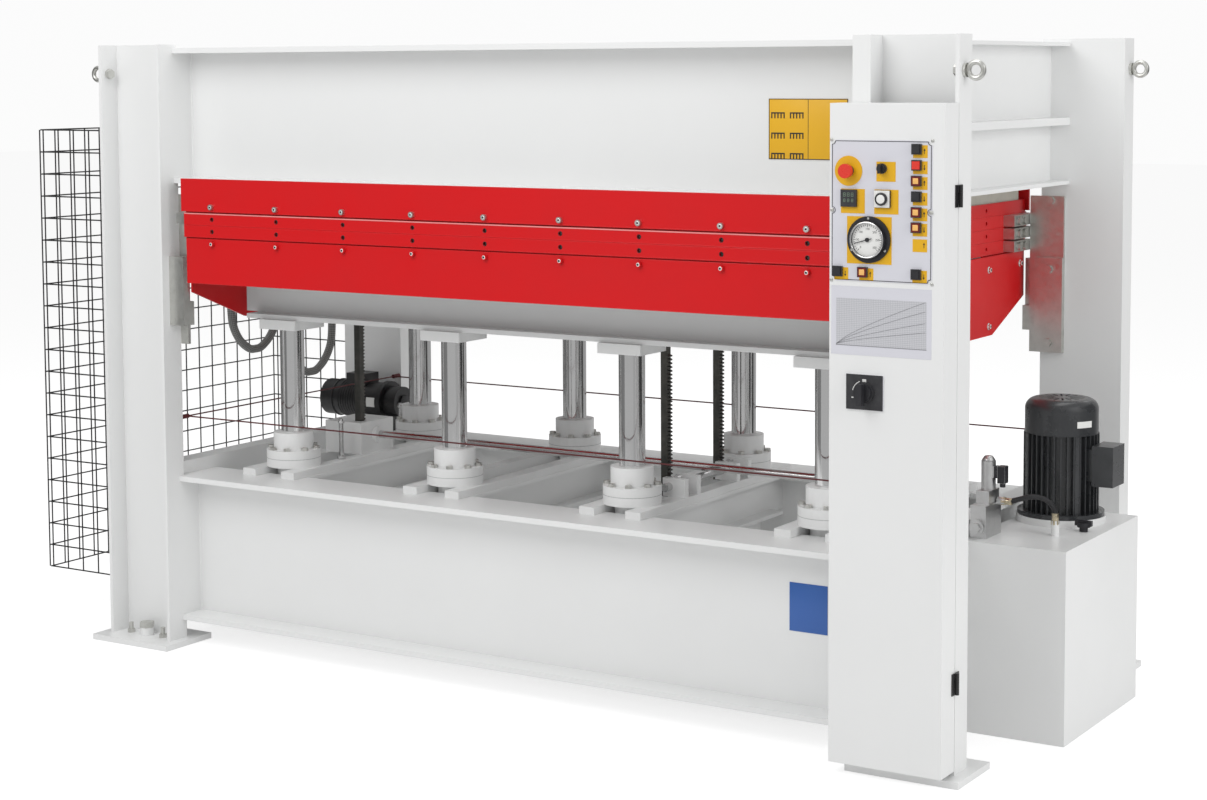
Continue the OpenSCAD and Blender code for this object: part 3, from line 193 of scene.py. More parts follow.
def mottle_group() -> bpy.types.NodeTree:
    """Makes the soft colour change that dust and handling leave on a surface.

    Returns:
        The group.
    """
    made = GroupMaker(Effect.MOTTLE, {"Colour": "Color", "Mask": "Float"}, Base=(0.8, 0.8, 0.8, 1),
                      Worn=(0.5, 0.5, 0.5, 1), Scale=4.0, Amount=0.3)
    given = made.given
    mask = made.clip(made.noise(given["Vector"], given["Scale"], 6.0, 0.62), 0.42, 0.78)
    scaled = made.math("MULTIPLY", mask, given["Amount"])
    return made.close(Colour=made.mix(scaled, given["Base"], given["Worn"]), Mask=mask)


def peel_group() -> bpy.types.NodeTree:
    """Makes the fine ripple of sprayed paint or moulded plastic."""
    made = GroupMaker(Effect.PEEL, {"Height": "Float"}, Scale=300.0)
    return made.close(Height=made.noise(made.given["Vector"], made.given["Scale"], 2.0))


def brush_group() -> bpy.types.NodeTree:
    """Makes the fine lines that rolling, turning or brushing leave on metal.

    Returns:
        The group.
    """
    made = GroupMaker(Effect.BRUSH, {"Height": "Float", "Mask": "Float"}, Stretch=(1.0, 40.0, 40.0))
    scale = made.node("VectorMath", operation="MULTIPLY")
    drawn = made.wire(scale, {0: made.given["Vector"], 1: made.given["Stretch"]})["Vector"]
    height = made.noise(drawn, 14.0, 3.0)
    return made.close(Height=height, Mask=made.clip(height, 0.3, 0.7))


def braid_group() -> bpy.types.NodeTree:
    """Makes crossed strands round a hose, on the hose's own UV map.

    Returns:
        The group.
    """
    made = GroupMaker(Effect.BRAID, {"Height": "Float"}, Along=60.0, Around=8.0)
    split = made.fill(made.node("SeparateXYZ"), Vector=made.given["Vector"])
    lengths = made.math("MULTIPLY", split["X"], made.given["Along"])
    around = made.math("MULTIPLY", split["Y"], made.given["Around"])
    left, right = (made.math("SINE", made.math("MULTIPLY", made.math(way, lengths, around), 2 * math.pi))
                   for way in ("ADD", "SUBTRACT"))
    return made.close(Height=made.math("MULTIPLY_ADD", made.math("MULTIPLY", left, right), 0.5, 0.5))


@cache
def effect_group(effect: Effect) -> bpy.types.NodeTree:
    """Makes an effect's shared group when it is first asked for."""
    return {Effect.MOTTLE: mottle_group, Effect.PEEL: peel_group, Effect.BRUSH: brush_group,
            Effect.BRAID: braid_group}[effect]()


class Shader(Bench):
    """A material with one Principled shader and short ways to add nodes."""

    def __init__(self, name: str) -> None:
        """Starts the material.

        Args:
            name: The material's name.
        """
        self.material = bpy.data.materials.new(name)
        self.material.use_nodes = True
        super().__init__(self.material.node_tree)
        self.principled = self.tree.nodes["Principled BSDF"]
        self.coordinates = self.node("TexCoord").outputs

    def put(self, **values: object) -> None:
        """Feeds the Principled shader, with words joined by underscores."""
        self.fill(self.principled, **values)

    def effect(self, effect: Effect, space: str = "Object", **values: object) -> Outputs:
        """Places a shared group, fed by a texture coordinate, and gives its outputs."""
        made = self.node("Group", node_tree=effect_group(effect))
        return self.fill(made, Vector=self.coordinates[space], **values)

    def axes(self) -> Outputs:
        """Gives the three Object coordinates, each by its letter."""
        return self.fill(self.node("SeparateXYZ"), Vector=self.coordinates["Object"])

    def roughen(self, mask: Socket, ends: Pair) -> None:
        """Feeds the roughness with its two ends, where a mask is 0 and where it is 1."""
        made = self.fill(self.node("MapRange"), Value=mask, To_Min=ends[0], To_Max=ends[1])
        self.put(Roughness=made["Result"])

    def bump(self, height: Socket, strength: float, distance: float) -> None:
        """Feeds the normal with a height, to a depth in metres."""
        made = self.fill(self.node("Bump"), Height=height, Strength=strength, Distance=distance)
        self.put(Normal=made["Normal"])

    def peel(self, scale: float, strength: float, distance: float) -> None:
        """Bumps the surface with the ripple of paint or plastic, to a depth in metres."""
        self.bump(self.effect(Effect.PEEL, Scale=scale)["Height"], strength, distance)

    def mottle(self, base: Colour, worn: Colour, scale: float, amount: float) -> Outputs:
        """Places the soft change between two colours and gives its outputs."""
        return self.effect(Effect.MOTTLE, Base=base, Worn=worn, Scale=scale, Amount=amount)


@dataclass(frozen=True)
class Paint:
    """Sprayed paint on steel sheet or sections."""

    name: str
    base: Colour
    worn: Colour
    rough: Pair = (0.32, 0.5)
    scale: float = 2.2
    amount: float = 0.35
    coat: float = 0.15
    gloss: float = 0.5
    spill: float = 0.0
    coat_rough: float = 0.25
    ripple: Point = (260.0, 0.12, 0.0006)

    def build(self) -> bpy.types.Material:
        """Makes the paint, which throws grey light on its neighbours where it has a spill.

        Returns:
            The material.
        """
        made = Shader(self.name)
        tone = made.mottle(self.base, self.worn, self.scale, self.amount)
        seen = tone["Colour"]
        if self.spill:
            bounced = made.node("LightPath").outputs["Is Diffuse Ray"]
            seen = made.mix(bounced, seen, (self.spill, self.spill, self.spill))
        made.put(Base_Color=seen, Specular_IOR_Level=self.gloss, Coat_Weight=self.coat,
                 Coat_Roughness=self.coat_rough)
        made.roughen(tone["Mask"], self.rough)
        made.peel(*self.ripple)
        return made.material


@dataclass(frozen=True)
class Metal:
    """Bare or plated metal with fine lines along one axis."""

    name: str
    base: Colour
    worn: Colour
    rough: Pair = (0.25, 0.42)
    stretch: Point = (1.0, 30.0, 30.0)
    amount: float = 0.5
    scale: float = 18.0
    metallic: float = 1.0
    strength: float = 0.15
    depth: float = 0.0003

    def build(self) -> bpy.types.Material:
        """Makes the metal.

        Returns:
            The material.
        """
        made = Shader(self.name)
        tone = made.mottle(self.base, self.worn, self.scale, self.amount)
        made.put(Base_Color=tone["Colour"], Metallic=self.metallic)
        lines = made.effect(Effect.BRUSH, Stretch=self.stretch)
        made.roughen(lines["Mask"], self.rough)
        made.bump(lines["Height"], self.strength, self.depth)
        return made.material


@dataclass(frozen=True)
class Plastic:
    """Moulded plastic, rubber or printed sheet."""

    name: str
    base: Colour
    worn: Colour
    rough: Pair = (0.38, 0.55)
    grain: float = 900.0
    amount: float = 0.3
    glow: float = 0.0
    gloss: float = 0.45
    scale: float = 30.0
    ripple: Pair = (0.2, 0.0002)

    def build(self) -> bpy.types.Material:
        """Makes the plastic, lit from inside where it has a glow.

        Returns:
            The material.
        """
        made = Shader(self.name)
        tone = made.mottle(self.base, self.worn, self.scale, self.amount)
        made.put(Base_Color=tone["Colour"], Specular_IOR_Level=self.gloss)
        made.roughen(tone["Mask"], self.rough)
        if self.glow:
            made.put(Emission_Color=self.base, Emission_Strength=self.glow)
        made.peel(self.grain, *self.ripple)
        return made.material


@dataclass(frozen=True)
class BraidedHose:
    """Rubber hose with a braided cover."""

    name: str
    base: Colour
    worn: Colour
    along: float
    around: float = 7.0
    gloss: float = 0.4
    rough: Pair = (0.6, 0.4)
    relief: Pair = (0.6, 0.001)

    def build(self) -> bpy.types.Material:
        """Makes the hose's cover.

        Returns:
            The material.
        """
        made = Shader(self.name)
        braid = made.effect(Effect.BRAID, "UV", Along=self.along, Around=self.around)["Height"]
        made.put(Base_Color=made.mix(braid, self.worn, self.base), Specular_IOR_Level=self.gloss)
        made.roughen(braid, self.rough)
        made.bump(braid, *self.relief)
        return made.material


@dataclass(frozen=True)
class PanelSheet:
    """Pale printed sheet whose raised fittings are dark plastic."""

    name: str
    sheet: Colour
    fittings: Colour
    step_y: float
    fittings_worn: Colour = (0.1, 0.1, 0.1)
    wear: Pair = (40.0, 0.3)
    gloss: float = 0.45
    rough: Pair = (0.32, 0.5)
    ripple: Point = (1200.0, 0.1, 0.0002)

    def build(self) -> bpy.types.Material:
        """Makes the panel, dark in front of its step and pale behind it.

        Returns:
            The material.
        """
        made = Shader(self.name)
        tone = made.mottle(self.fittings, self.fittings_worn, *self.wear)
        front = made.math("LESS_THAN", made.axes()["Y"], self.step_y)
        made.put(Base_Color=made.mix(front, self.sheet, tone["Colour"]), Specular_IOR_Level=self.gloss)
        made.roughen(tone["Mask"], self.rough)
        made.peel(*self.ripple)
        return made.material


@dataclass(frozen=True)
class ChartPrint:
    """Pale sheet printed with a fine grid."""

    name: str
    sheet: Colour
    ink: Colour
    pitch: float
    line_share: float = 0.16
    wear: float = 25.0
    rough: Pair = (0.4, 0.55)

    def build(self) -> bpy.types.Material:
        """Makes the print.

        Returns:
            The material.
        """
        made = Shader(self.name)
        axes = made.axes()
        lines = [made.math("LESS_THAN", made.math("WRAP", axes[letter], 0.0, self.pitch),
                           self.pitch * self.line_share) for letter in "XZ"]
        made.put(Base_Color=made.mix(made.math("MAXIMUM", *lines), self.sheet, self.ink))
        made.roughen(made.effect(Effect.MOTTLE, Scale=self.wear)["Mask"], self.rough)
        return made.material


class Finish(Enum):
    """Every finish of the press."""

    WHITE = Paint("white paint", (0.84, 0.845, 0.842), (0.79, 0.795, 0.792))
    RED = Paint("red paint", (0.67, 0.006, 0.009), (0.58, 0.005, 0.008), (0.30, 0.42), 3.0, 0.5, 0.05,
                0.3, 0.26)
    # Pale red painted highlight for a platen's top edge, with a soft random change of tone
    RED_EDGE_HIGHLIGHT = Paint("painted highlight red edge", (0.84, 0.30, 0.29), (0.74, 0.20, 0.20), (0.3, 0.4), 30.0, 0.6, 0.05,
                     0.3, 0.26)
    DARK = Paint("dark grey paint", (0.034, 0.036, 0.039), (0.07, 0.073, 0.077), (0.25, 0.38), 9.0, 0.5, 0.35)
    BLACK_PAINT = Paint("black paint", (0.012, 0.012, 0.013), (0.04, 0.04, 0.04), (0.35, 0.55), 20.0, 0.4,
                        0.05)
    BLUE = Paint("blue plate paint", (0.03, 0.12, 0.42), (0.04, 0.14, 0.44), (0.3, 0.4), 8.0, 0.3, 0.2)
    YELLOW = Paint("yellow plate paint", (0.84, 0.46, 0.01), (0.76, 0.40, 0.01), (0.4, 0.55), 12.0, 0.3, 0.05)
    ZINC = Metal("zinc plate", (0.66, 0.66, 0.63), (0.50, 0.50, 0.47), (0.30, 0.48), (6.0, 6.0, 6.0), 0.6,
                 26.0)
    BRIGHT = Metal("bright zinc screw", (0.90, 0.89, 0.86), (0.70, 0.69, 0.66), (0.28, 0.45), (6.0, 6.0, 6.0),
                   0.5, 60.0, 0.45)
    CHROME = Metal("hard chrome", (0.80, 0.80, 0.80), (0.70, 0.70, 0.70), (0.05, 0.12), (9.0, 9.0, 0.6), 0.3,
                   6.0, strength=0.05)
    STEEL = Metal("ground steel", (0.66, 0.66, 0.66), (0.50, 0.50, 0.50), (0.14, 0.26), (40.0, 3.0, 3.0), 0.4)
    GROUND = Metal("ground platen face", (0.46, 0.45, 0.44), (0.34, 0.33, 0.32), (0.3, 0.48),
                   (1.5, 40.0, 40.0), 0.5, 3.0, strength=0.08)
    OILED = Metal("oiled steel", (0.08, 0.08, 0.075), (0.17, 0.16, 0.14), (0.3, 0.5), (12.0, 12.0, 2.0), 0.6)
    ALUMINIUM = Metal("machined aluminium", (0.70, 0.70, 0.70), (0.52, 0.52, 0.52), (0.28, 0.45),
                      (20.0, 2.0, 20.0))
    BRASS = Metal("brass fitting", (0.66, 0.58, 0.42), (0.5, 0.43, 0.3), (0.22, 0.38), (8.0, 8.0, 8.0))
    BLACK = Plastic("black plastic", (0.022, 0.022, 0.026), (0.045, 0.045, 0.05))
    RED_PLASTIC = Plastic("red plastic", (0.76, 0.045, 0.028), (0.62, 0.03, 0.02), (0.25, 0.35))
    LAMP_FRAME = Plastic("lamp frame", (0.16, 0.012, 0.012), (0.11, 0.01, 0.01), (0.25, 0.35))
    WHITE_PLASTIC = Plastic("white plastic", (0.82, 0.82, 0.80), (0.7, 0.7, 0.68), (0.3, 0.45))
    GREY_PLASTIC = Plastic("grey plastic", (0.42, 0.43, 0.43), (0.34, 0.34, 0.34))
    LABEL = Plastic("yellow label", (0.80, 0.44, 0.006), (0.72, 0.38, 0.006), (0.4, 0.5), 400.0)
    LENS = Plastic("lamp lens", (0.88, 0.50, 0.16), (0.80, 0.36, 0.08), (0.1, 0.18), 500.0, 0.4, 0.05)
    DIAL = Plastic("dial face", (0.86, 0.86, 0.84), (0.80, 0.80, 0.78), (0.3, 0.4), 300.0)
    INK = Plastic("ink", (0.02, 0.02, 0.022), (0.03, 0.03, 0.03), (0.5, 0.6), 300.0)
    PALE_INK = Plastic("pale ink", (0.22, 0.22, 0.24), (0.28, 0.28, 0.3), (0.5, 0.6), 300.0)
    DISPLAY = Plastic("dim display", (0.16, 0.22, 0.16), (0.1, 0.15, 0.1), (0.3, 0.4), 300.0, 0.1, 0.1)
    BOARD = Plastic("pressed board", (0.60, 0.57, 0.50), (0.48, 0.46, 0.40), (0.75, 0.9), 300.0, 0.6)
    ROPE = Plastic("covered rope", (0.10, 0.012, 0.014), (0.05, 0.02, 0.02), (0.5, 0.7), 2000.0)
    HOSE = BraidedHose("braided hose", (0.36, 0.36, 0.35), (0.11, 0.11, 0.108), 90.0)
    PLAIN_HOSE = BraidedHose("smooth hose", (0.028, 0.028, 0.03), (0.018, 0.018, 0.02), 22.0, 5.0)
    PANEL = PanelSheet("panel sheet", (0.69, 0.69, 0.745), (0.034, 0.034, 0.038), -0.8178)
    CHART = ChartPrint("printed chart", (0.60, 0.60, 0.63), (0.40, 0.41, 0.44), 0.0052)


Coats = dict[Finish, list[str]]


@cache
def material_of(finish: Finish) -> bpy.types.Material:
    """Makes the material of a finish when it is first asked for."""
    return finish.value.build()


def along(at: Point, axis: Axis, step: float) -> Point:
    """Gives the point that lies a step along an axis from another one."""
    way = {Axis.X: (1, 0, 0), Axis.Y: (0, 1, 0), Axis.Z: (0, 0, 1)}[axis]
    return tuple(a + step * w for a, w in zip(at, way))


def mesh_of(curve: bpy.types.Curve) -> bpy.types.Mesh:
    """Turns a curve or a text into a mesh and removes the curve.

    Args:
        curve: The curve.

    Returns:
        Its mesh.
    """
    holder = bpy.data.objects.new("curve", curve)
    bpy.context.scene.collection.objects.link(holder)
    bpy.context.view_layer.update()
    mesh = bpy.data.meshes.new_from_object(holder)
    bpy.data.objects.remove(holder)
    bpy.data.curves.remove(curve)
    return mesh


class Shape:
    """A mesh under construction, made of bmesh operators, in metres in the press's own frame."""

    sharp = math.radians(32)
    crown = 0.62
    crown_edge = 0.25
    font_size = 1.4

    def __init__(self) -> None:
        """Starts with no geometry."""
        self.bm = bmesh.new()

    def turn(self, verts: list, angle: float, axis: str) -> None:
        """Turns vertices about an axis through the origin, by an angle in radians."""
        bmesh.ops.rotate(self.bm, cent=(0, 0, 0), matrix=Matrix.Rotation(angle, 3, axis), verts=verts)

    def place(self, verts: list, axis: Axis, at: Point) -> None:
        """Turns new geometry from Z to an axis and moves it.

        Args:
            verts: The new vertices.
            axis: The axis that local Z turns to.
            at: Where the local origin goes.
        """
        if axis is not Axis.Z:
            self.turn(verts, QUARTER, "Y" if axis is Axis.X else "X")
        bmesh.ops.translate(self.bm, vec=at, verts=verts)

    def spin(self, verts: list, sweep: float, steps: int, closed: bool = False) -> None:
        """Sweeps a section round Z.

        Args:
            verts: The section's vertices.
            sweep: How far it goes round, in radians.
            steps: Steps round the sweep.
            closed: Whether it ends where it began.
        """
        edges = list({e for v in verts for e in v.link_edges})
        bmesh.ops.spin(self.bm, geom=verts + edges, cent=(0, 0, 0), axis=(0, 0, 1), dvec=(0, 0, 0),
                       angle=sweep, steps=steps, use_merge=closed, use_duplicate=False)

    def soften(self, edges: list, width: float) -> list:
        """Rounds edges off with a bevel of a width and gives the new vertices."""
        return bmesh.ops.bevel(self.bm, geom=edges, offset=width, affect="EDGES", segments=2, profile=0.5,
                               material=-1)["verts"]

    def cube(self, size: Point) -> list:
        """Adds a box at the origin.

        Args:
            size: Its three sizes.

        Returns:
            Its vertices.
        """
        verts = bmesh.ops.create_cube(self.bm, size=1.0)["verts"]
        bmesh.ops.scale(self.bm, vec=size, verts=verts)
        return verts

    def block(self, low: Point, high: Point, round_off: float = 0.0) -> "Shape":
        """Adds a box with softened edges.

        Args:
            low: Lowest corner.
            high: Highest corner.
            round_off: Width of its bevel.

        Returns:
            This shape.
        """
        verts = self.cube(Vector(high) - Vector(low))
        bmesh.ops.translate(self.bm, vec=(Vector(low) + Vector(high)) / 2, verts=verts)
        if round_off:
            self.soften(list({e for v in verts for e in v.link_edges}), round_off)
        return self

    def drum(self, at: Point, radius: float, depth: float, axis: Axis, sides: int = 32,
             round_off: float = 0.0, tip: float | None = None, turn: float = 0.0) -> "Shape":
        """Adds a round or many-sided drum centred on a point.

        Args:
            at: Its centre.
            radius: Its radius.
            depth: Its length along the axis.
            axis: Its axis.
            sides: How many sides it has.
            round_off: Width of the bevel at its two rims.
            tip: Radius of its far end, where that differs.
            turn: How far it turns about its axis, in degrees.

        Returns:
            This shape.
        """
        verts = bmesh.ops.create_cone(self.bm, cap_ends=True, cap_tris=False, segments=sides,
                                      radius1=radius, radius2=radius if tip is None else tip,
                                      depth=depth)["verts"]
        if round_off:
            caps = [f for f in {f for v in verts for f in v.link_faces} if len(f.verts) == sides]
            fresh = self.soften(list({e for f in caps for e in f.edges}), round_off)
            verts = list({v for v in verts if v.is_valid} | set(fresh))
        if turn:
            self.turn(verts, math.radians(turn), "Z")
        self.place(verts, axis, at)
        return self

    def button(self, at: Point, radius: float, height: float, axis: Axis, outward: int) -> "Shape":
        """Adds a low domed screw head that stands on a face.

        Args:
            at: Centre of its seat.
            radius: Its radius at the seat.
            height: How far it stands out.
            axis: The axis across the face.
            outward: Which way it stands out along the axis, 1 or -1.

        Returns:
            This shape.
        """
        ends = (radius, radius * self.crown)
        if (outward > 0) == (axis is Axis.Y):
            ends = ends[::-1]
        centre = along(at, axis, outward * height / 2)
        return self.drum(centre, ends[0], height, axis, 24, height * self.crown_edge, ends[1])

    def dash(self, at: Point, size: Point, angle: float) -> "Shape":
        """Adds a short bar that is turned in the upright plane facing the front.

        Args:
            at: Its centre.
            size: Its length, depth and width.
            angle: Its turn, in radians.

        Returns:
            This shape.
        """
        verts = self.cube(size)
        self.turn(verts, -angle, "Y")
        bmesh.ops.translate(self.bm, vec=at, verts=verts)
        return self

    def bow(self, at: Point, radius: float, section: Pair, start: float, sweep: float,
            axis: Axis, steps: int = 10) -> "Shape":
        """Adds a strip bent round an axis.

        Args:
            at: Centre of the bend.
            radius: Radius of its middle line.
            section: Its size across the bend and along the axis.
            start: Where it starts, in degrees.
            sweep: How far it goes round, in degrees.
            axis: The axis that it is bent round.
            steps: Steps round the bend.

        Returns:
            This shape.
        """
        before = set(self.bm.verts)
        verts = bmesh.ops.create_grid(self.bm, x_segments=1, y_segments=1, size=0.5)["verts"]
        faces = list({f for v in verts for f in v.link_faces})
        bmesh.ops.delete(self.bm, geom=faces, context="FACES_ONLY")
        bmesh.ops.scale(self.bm, vec=(*section, 1.0), verts=verts)
        self.turn(verts, QUARTER, "X")
        bmesh.ops.translate(self.bm, vec=(radius, 0, 0), verts=verts)
        self.turn(verts, math.radians(start), "Z")
        self.spin(verts, math.radians(sweep), steps)
        fresh = [v for v in self.bm.verts if v not in before]
        rims = list({e for v in fresh for e in v.link_edges if e.is_boundary})
        bmesh.ops.holes_fill(self.bm, edges=rims, sides=4)
        self.place(fresh, axis, at)
        return self

    def ring(self, at: Point, radius: float, thick: float, axis: Axis, steps: int = 40,
             sides: int = 10) -> "Shape":
        """Adds a round ring.

        Args:
            at: Its centre.
            radius: Radius of its middle line.
            thick: Radius of its section.
            axis: The ring's axis.
            steps: Steps round the ring.
            sides: Sides of its section.

        Returns:
            This shape.
        """
        before = set(self.bm.verts)
        verts = bmesh.ops.create_circle(self.bm, cap_ends=False, radius=thick, segments=sides)["verts"]
        self.turn(verts, QUARTER, "X")
        bmesh.ops.translate(self.bm, vec=(radius, 0, 0), verts=verts)
        self.spin(verts, 2 * math.pi, steps, closed=True)
        self.place([v for v in self.bm.verts if v not in before], axis, at)
        return self

    def frame(self, low: Point, high: Point, width: float) -> "Shape":
        """Adds a flat rectangular frame that faces the front.

        Args:
            low: Lowest corner of its outside.
            high: Highest corner of its outside.
            width: Width of its four sides.

        Returns:
            This shape.
        """
        x0, y0, z0 = low
        x1, y1, z1 = high
        self.block((x0, y0, z0), (x1, y1, z0 + width))
        self.block((x0, y0, z1 - width), (x1, y1, z1))
        self.block((x0, y0, z0 + width), (x0 + width, y1, z1 - width))
        self.block((x1 - width, y0, z0 + width), (x1, y1, z1 - width))
        return self

    def words(self, body: str, at: Point, height: float) -> "Shape":
        """Adds flat numerals facing the front.

        Args:
            body: The numerals.
            at: Their centre.
            height: Their height.

        Returns:
            This shape.
        """
        curve = bpy.data.curves.new("numerals", "FONT")
        curve.body = body
        curve.size = height * self.font_size
        curve.align_x = curve.align_y = "CENTER"
        mesh = mesh_of(curve)
        mesh.transform(Matrix.Translation(at) @ Matrix.Rotation(QUARTER, 4, "X"))
        self.bm.from_mesh(mesh)
        bpy.data.meshes.remove(mesh)
        return self

    def stand(self, name: str, material: bpy.types.Material) -> bpy.types.Object:
        """Puts the mesh in the scene.

        Args:
            name: The object's name.
            material: Its material.

        Returns:
            The object.
        """
        mesh = bpy.data.meshes.new(name)
        self.bm.to_mesh(mesh)
        self.bm.free()
        mesh.materials.append(material)
        made = bpy.data.objects.new(name, mesh)
        bpy.context.scene.collection.objects.link(made)
        return made

    def finish(self, name: str, finish: Finish, body: str, slot: str = "") -> None:
        """Turns the mesh into a piece that rides on a body.

        Args:
            name: The piece's name.
            finish: Its finish.
            body: The body that it moves with.
            slot: A material slot name, if one fits; not used.
        """
        bmesh.ops.recalc_face_normals(self.bm, faces=self.bm.faces[:])
        piece = self.stand(name, material_of(finish))
        piece.data.shade_smooth()
        piece.data.set_sharp_from_angle(angle=self.sharp)
        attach(piece, body)
        LOG.info("%s on %s", name, body)


def dress(coats: Coats) -> None:
    """Gives CAD nodes their finishes.

    Args:
        coats: The nodes' names under each finish.
    """
    for finish, names in coats.items():
        for name in names:
            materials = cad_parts[name].data.materials
            materials.clear()
            materials.append(material_of(finish))
            LOG.info("%s dressed", name)


@dataclass
class StudioCamera:
    """Camera at the photograph's viewing angle."""

    place: Point = (4.0996, -6.5478, 2.0027)
    yaw: float = 31.9815
    pitch: float = -4.6339
    roll: float = -0.2867
    focal_px: float = 2274.54
    image_w: float = 1207.0
    sensor: float = 36.0
    shift_y: float = -0.12

    def build(self) -> None:
        """Makes the camera and hands it to the scene."""
        data = bpy.data.cameras.new("camera")
        data.sensor_width = self.sensor
        data.lens = self.focal_px * self.sensor / self.image_w
        data.shift_y = self.shift_y
        yaw, pitch, roll = (math.radians(a) for a in (self.yaw, self.pitch, self.roll))
        ahead = Vector((-math.sin(yaw) * math.cos(pitch), math.cos(yaw) * math.cos(pitch),
                        math.sin(pitch)))
        right = Vector((math.cos(yaw), math.sin(yaw), 0.0))
        up = right.cross(ahead)
        turned_right = math.cos(roll) * right + math.sin(roll) * up
        turned_up = -math.sin(roll) * right + math.cos(roll) * up
        turn = Matrix((turned_right, turned_up, -ahead)).transposed()
        camera = bpy.data.objects.new("camera", data)
        camera.matrix_world = Matrix.Translation(self.place) @ turn.to_4x4()
        bpy.context.scene.collection.objects.link(camera)
        bpy.context.scene.camera = camera


@dataclass
class Studio:
    """Pale floor, soft light and the grey cards that polished metal mirrors."""

    floor_half: float = 40.0
    floor_tone: float = 0.50
    floor_seen: float = 0.66
    floor_light: float = 0.31
    sky_light: float = 0.575
    sky_seen: float = 0.97
    lamps: list[tuple[str, Point, Point, float, float]] = field(default_factory=lambda: [
        ("key", (-0.6, -4.2, 4.6), (0.0, -0.6, 1.4), 3.2, 104.0),
        ("side", (6.0, -1.2, 3.0), (1.4, -0.2, 1.0), 3.0, 90.0),
        ("top", (0.0, 0.5, 7.5), (0.0, 0.0, 0.0), 5.0, 150.0),
        ("rear", (0.0, 5.5, 3.0), (0.0, 0.0, 0.8), 4.0, 60.0),
    ])
    card_radius: float = 4.2
    card_low: float = -0.2
    card_top: float = 3.0
    card_turn: float = -58.0
    cards: list[tuple[float, float, float]] = field(default_factory=lambda: [
        (-180.0, -142.0, 0.10), (-142.0, -60.0, 0.20), (-60.0, 10.0, 0.46), (10.0, 52.0, 0.40),
        (52.0, 102.0, 0.06), (102.0, 180.0, 0.36)])

    def build(self) -> None:
        """Makes the floor, the sky, the lamps and the cards."""
        shape = Shape()
        bmesh.ops.create_grid(shape.bm, x_segments=1, y_segments=1, size=self.floor_half)
        paper = Shader("pale floor")
        tone = self.floor_tone
        paper.put(Base_Color=(tone, tone, tone), Roughness=1.0, Specular_IOR_Level=0.0,
                  Emission_Color=(1, 1, 1))
        self.level(paper, paper.principled.inputs["Emission Strength"], self.floor_light, self.floor_seen)
        shape.stand("floor", paper.material)
        world = bpy.data.worlds.new("studio")
        world.use_nodes = True
        back = world.node_tree.nodes["Background"]
        back.inputs["Color"].default_value = (1, 1, 1, 1)
        self.level(Bench(world.node_tree), back.inputs["Strength"], self.sky_light, self.sky_seen)
        bpy.context.scene.world = world
        bpy.context.scene.view_settings.view_transform = "Standard"
        for name, place, target, size, power in self.lamps:
            data = bpy.data.lights.new(name, "AREA")
            data.energy = power
            data.size = size
            lamp = bpy.data.objects.new(name, data)
            lamp.location = place
            aim = Vector(target) - Vector(place)
            lamp.rotation_euler = aim.to_track_quat("-Z", "Y").to_euler()
            bpy.context.scene.collection.objects.link(lamp)
        for number, card in enumerate(self.cards):
            self.card(f"card_{number}", *card)

    def level(self, bench: Bench, slot: Socket, light: float, seen: float) -> None:
        """Gives the backdrop one strength as light and another as the white ground of the picture.

        Args:
            bench: The backdrop's nodes.
            slot: Its strength.
            light: The strength that lights the press.
            seen: The strength that the picture shows.
        """
        ray = bench.node("LightPath").outputs["Is Camera Ray"]
        bench.feed(slot, bench.math("MULTIPLY_ADD", ray, seen - light, light))

    def card(self, name: str, start: float, end: float, tone: float) -> None:
        """Stands one bent card round the press, which only mirrors see.

        Args:
            name: Its name.
            start: Where it starts, in degrees to the right of the camera.
            end: Where it ends.
            tone: How bright it is.
        """
        shape = Shape()
        ends = [shape.bm.verts.new((self.card_radius, 0, z)) for z in (self.card_low, self.card_top)]
        shape.bm.edges.new(ends)
        shape.turn(ends, math.radians(start + self.card_turn), "Z")
        shape.spin(ends, math.radians(end - start), 12)
        paper = Shader(name)
        paper.put(Base_Color=(0, 0, 0), Specular_IOR_Level=0.0, Emission_Color=(tone, tone, tone),
                  Emission_Strength=1.0)
        made = shape.stand(name, paper.material)
        made.visible_camera = made.visible_diffuse = made.visible_shadow = False


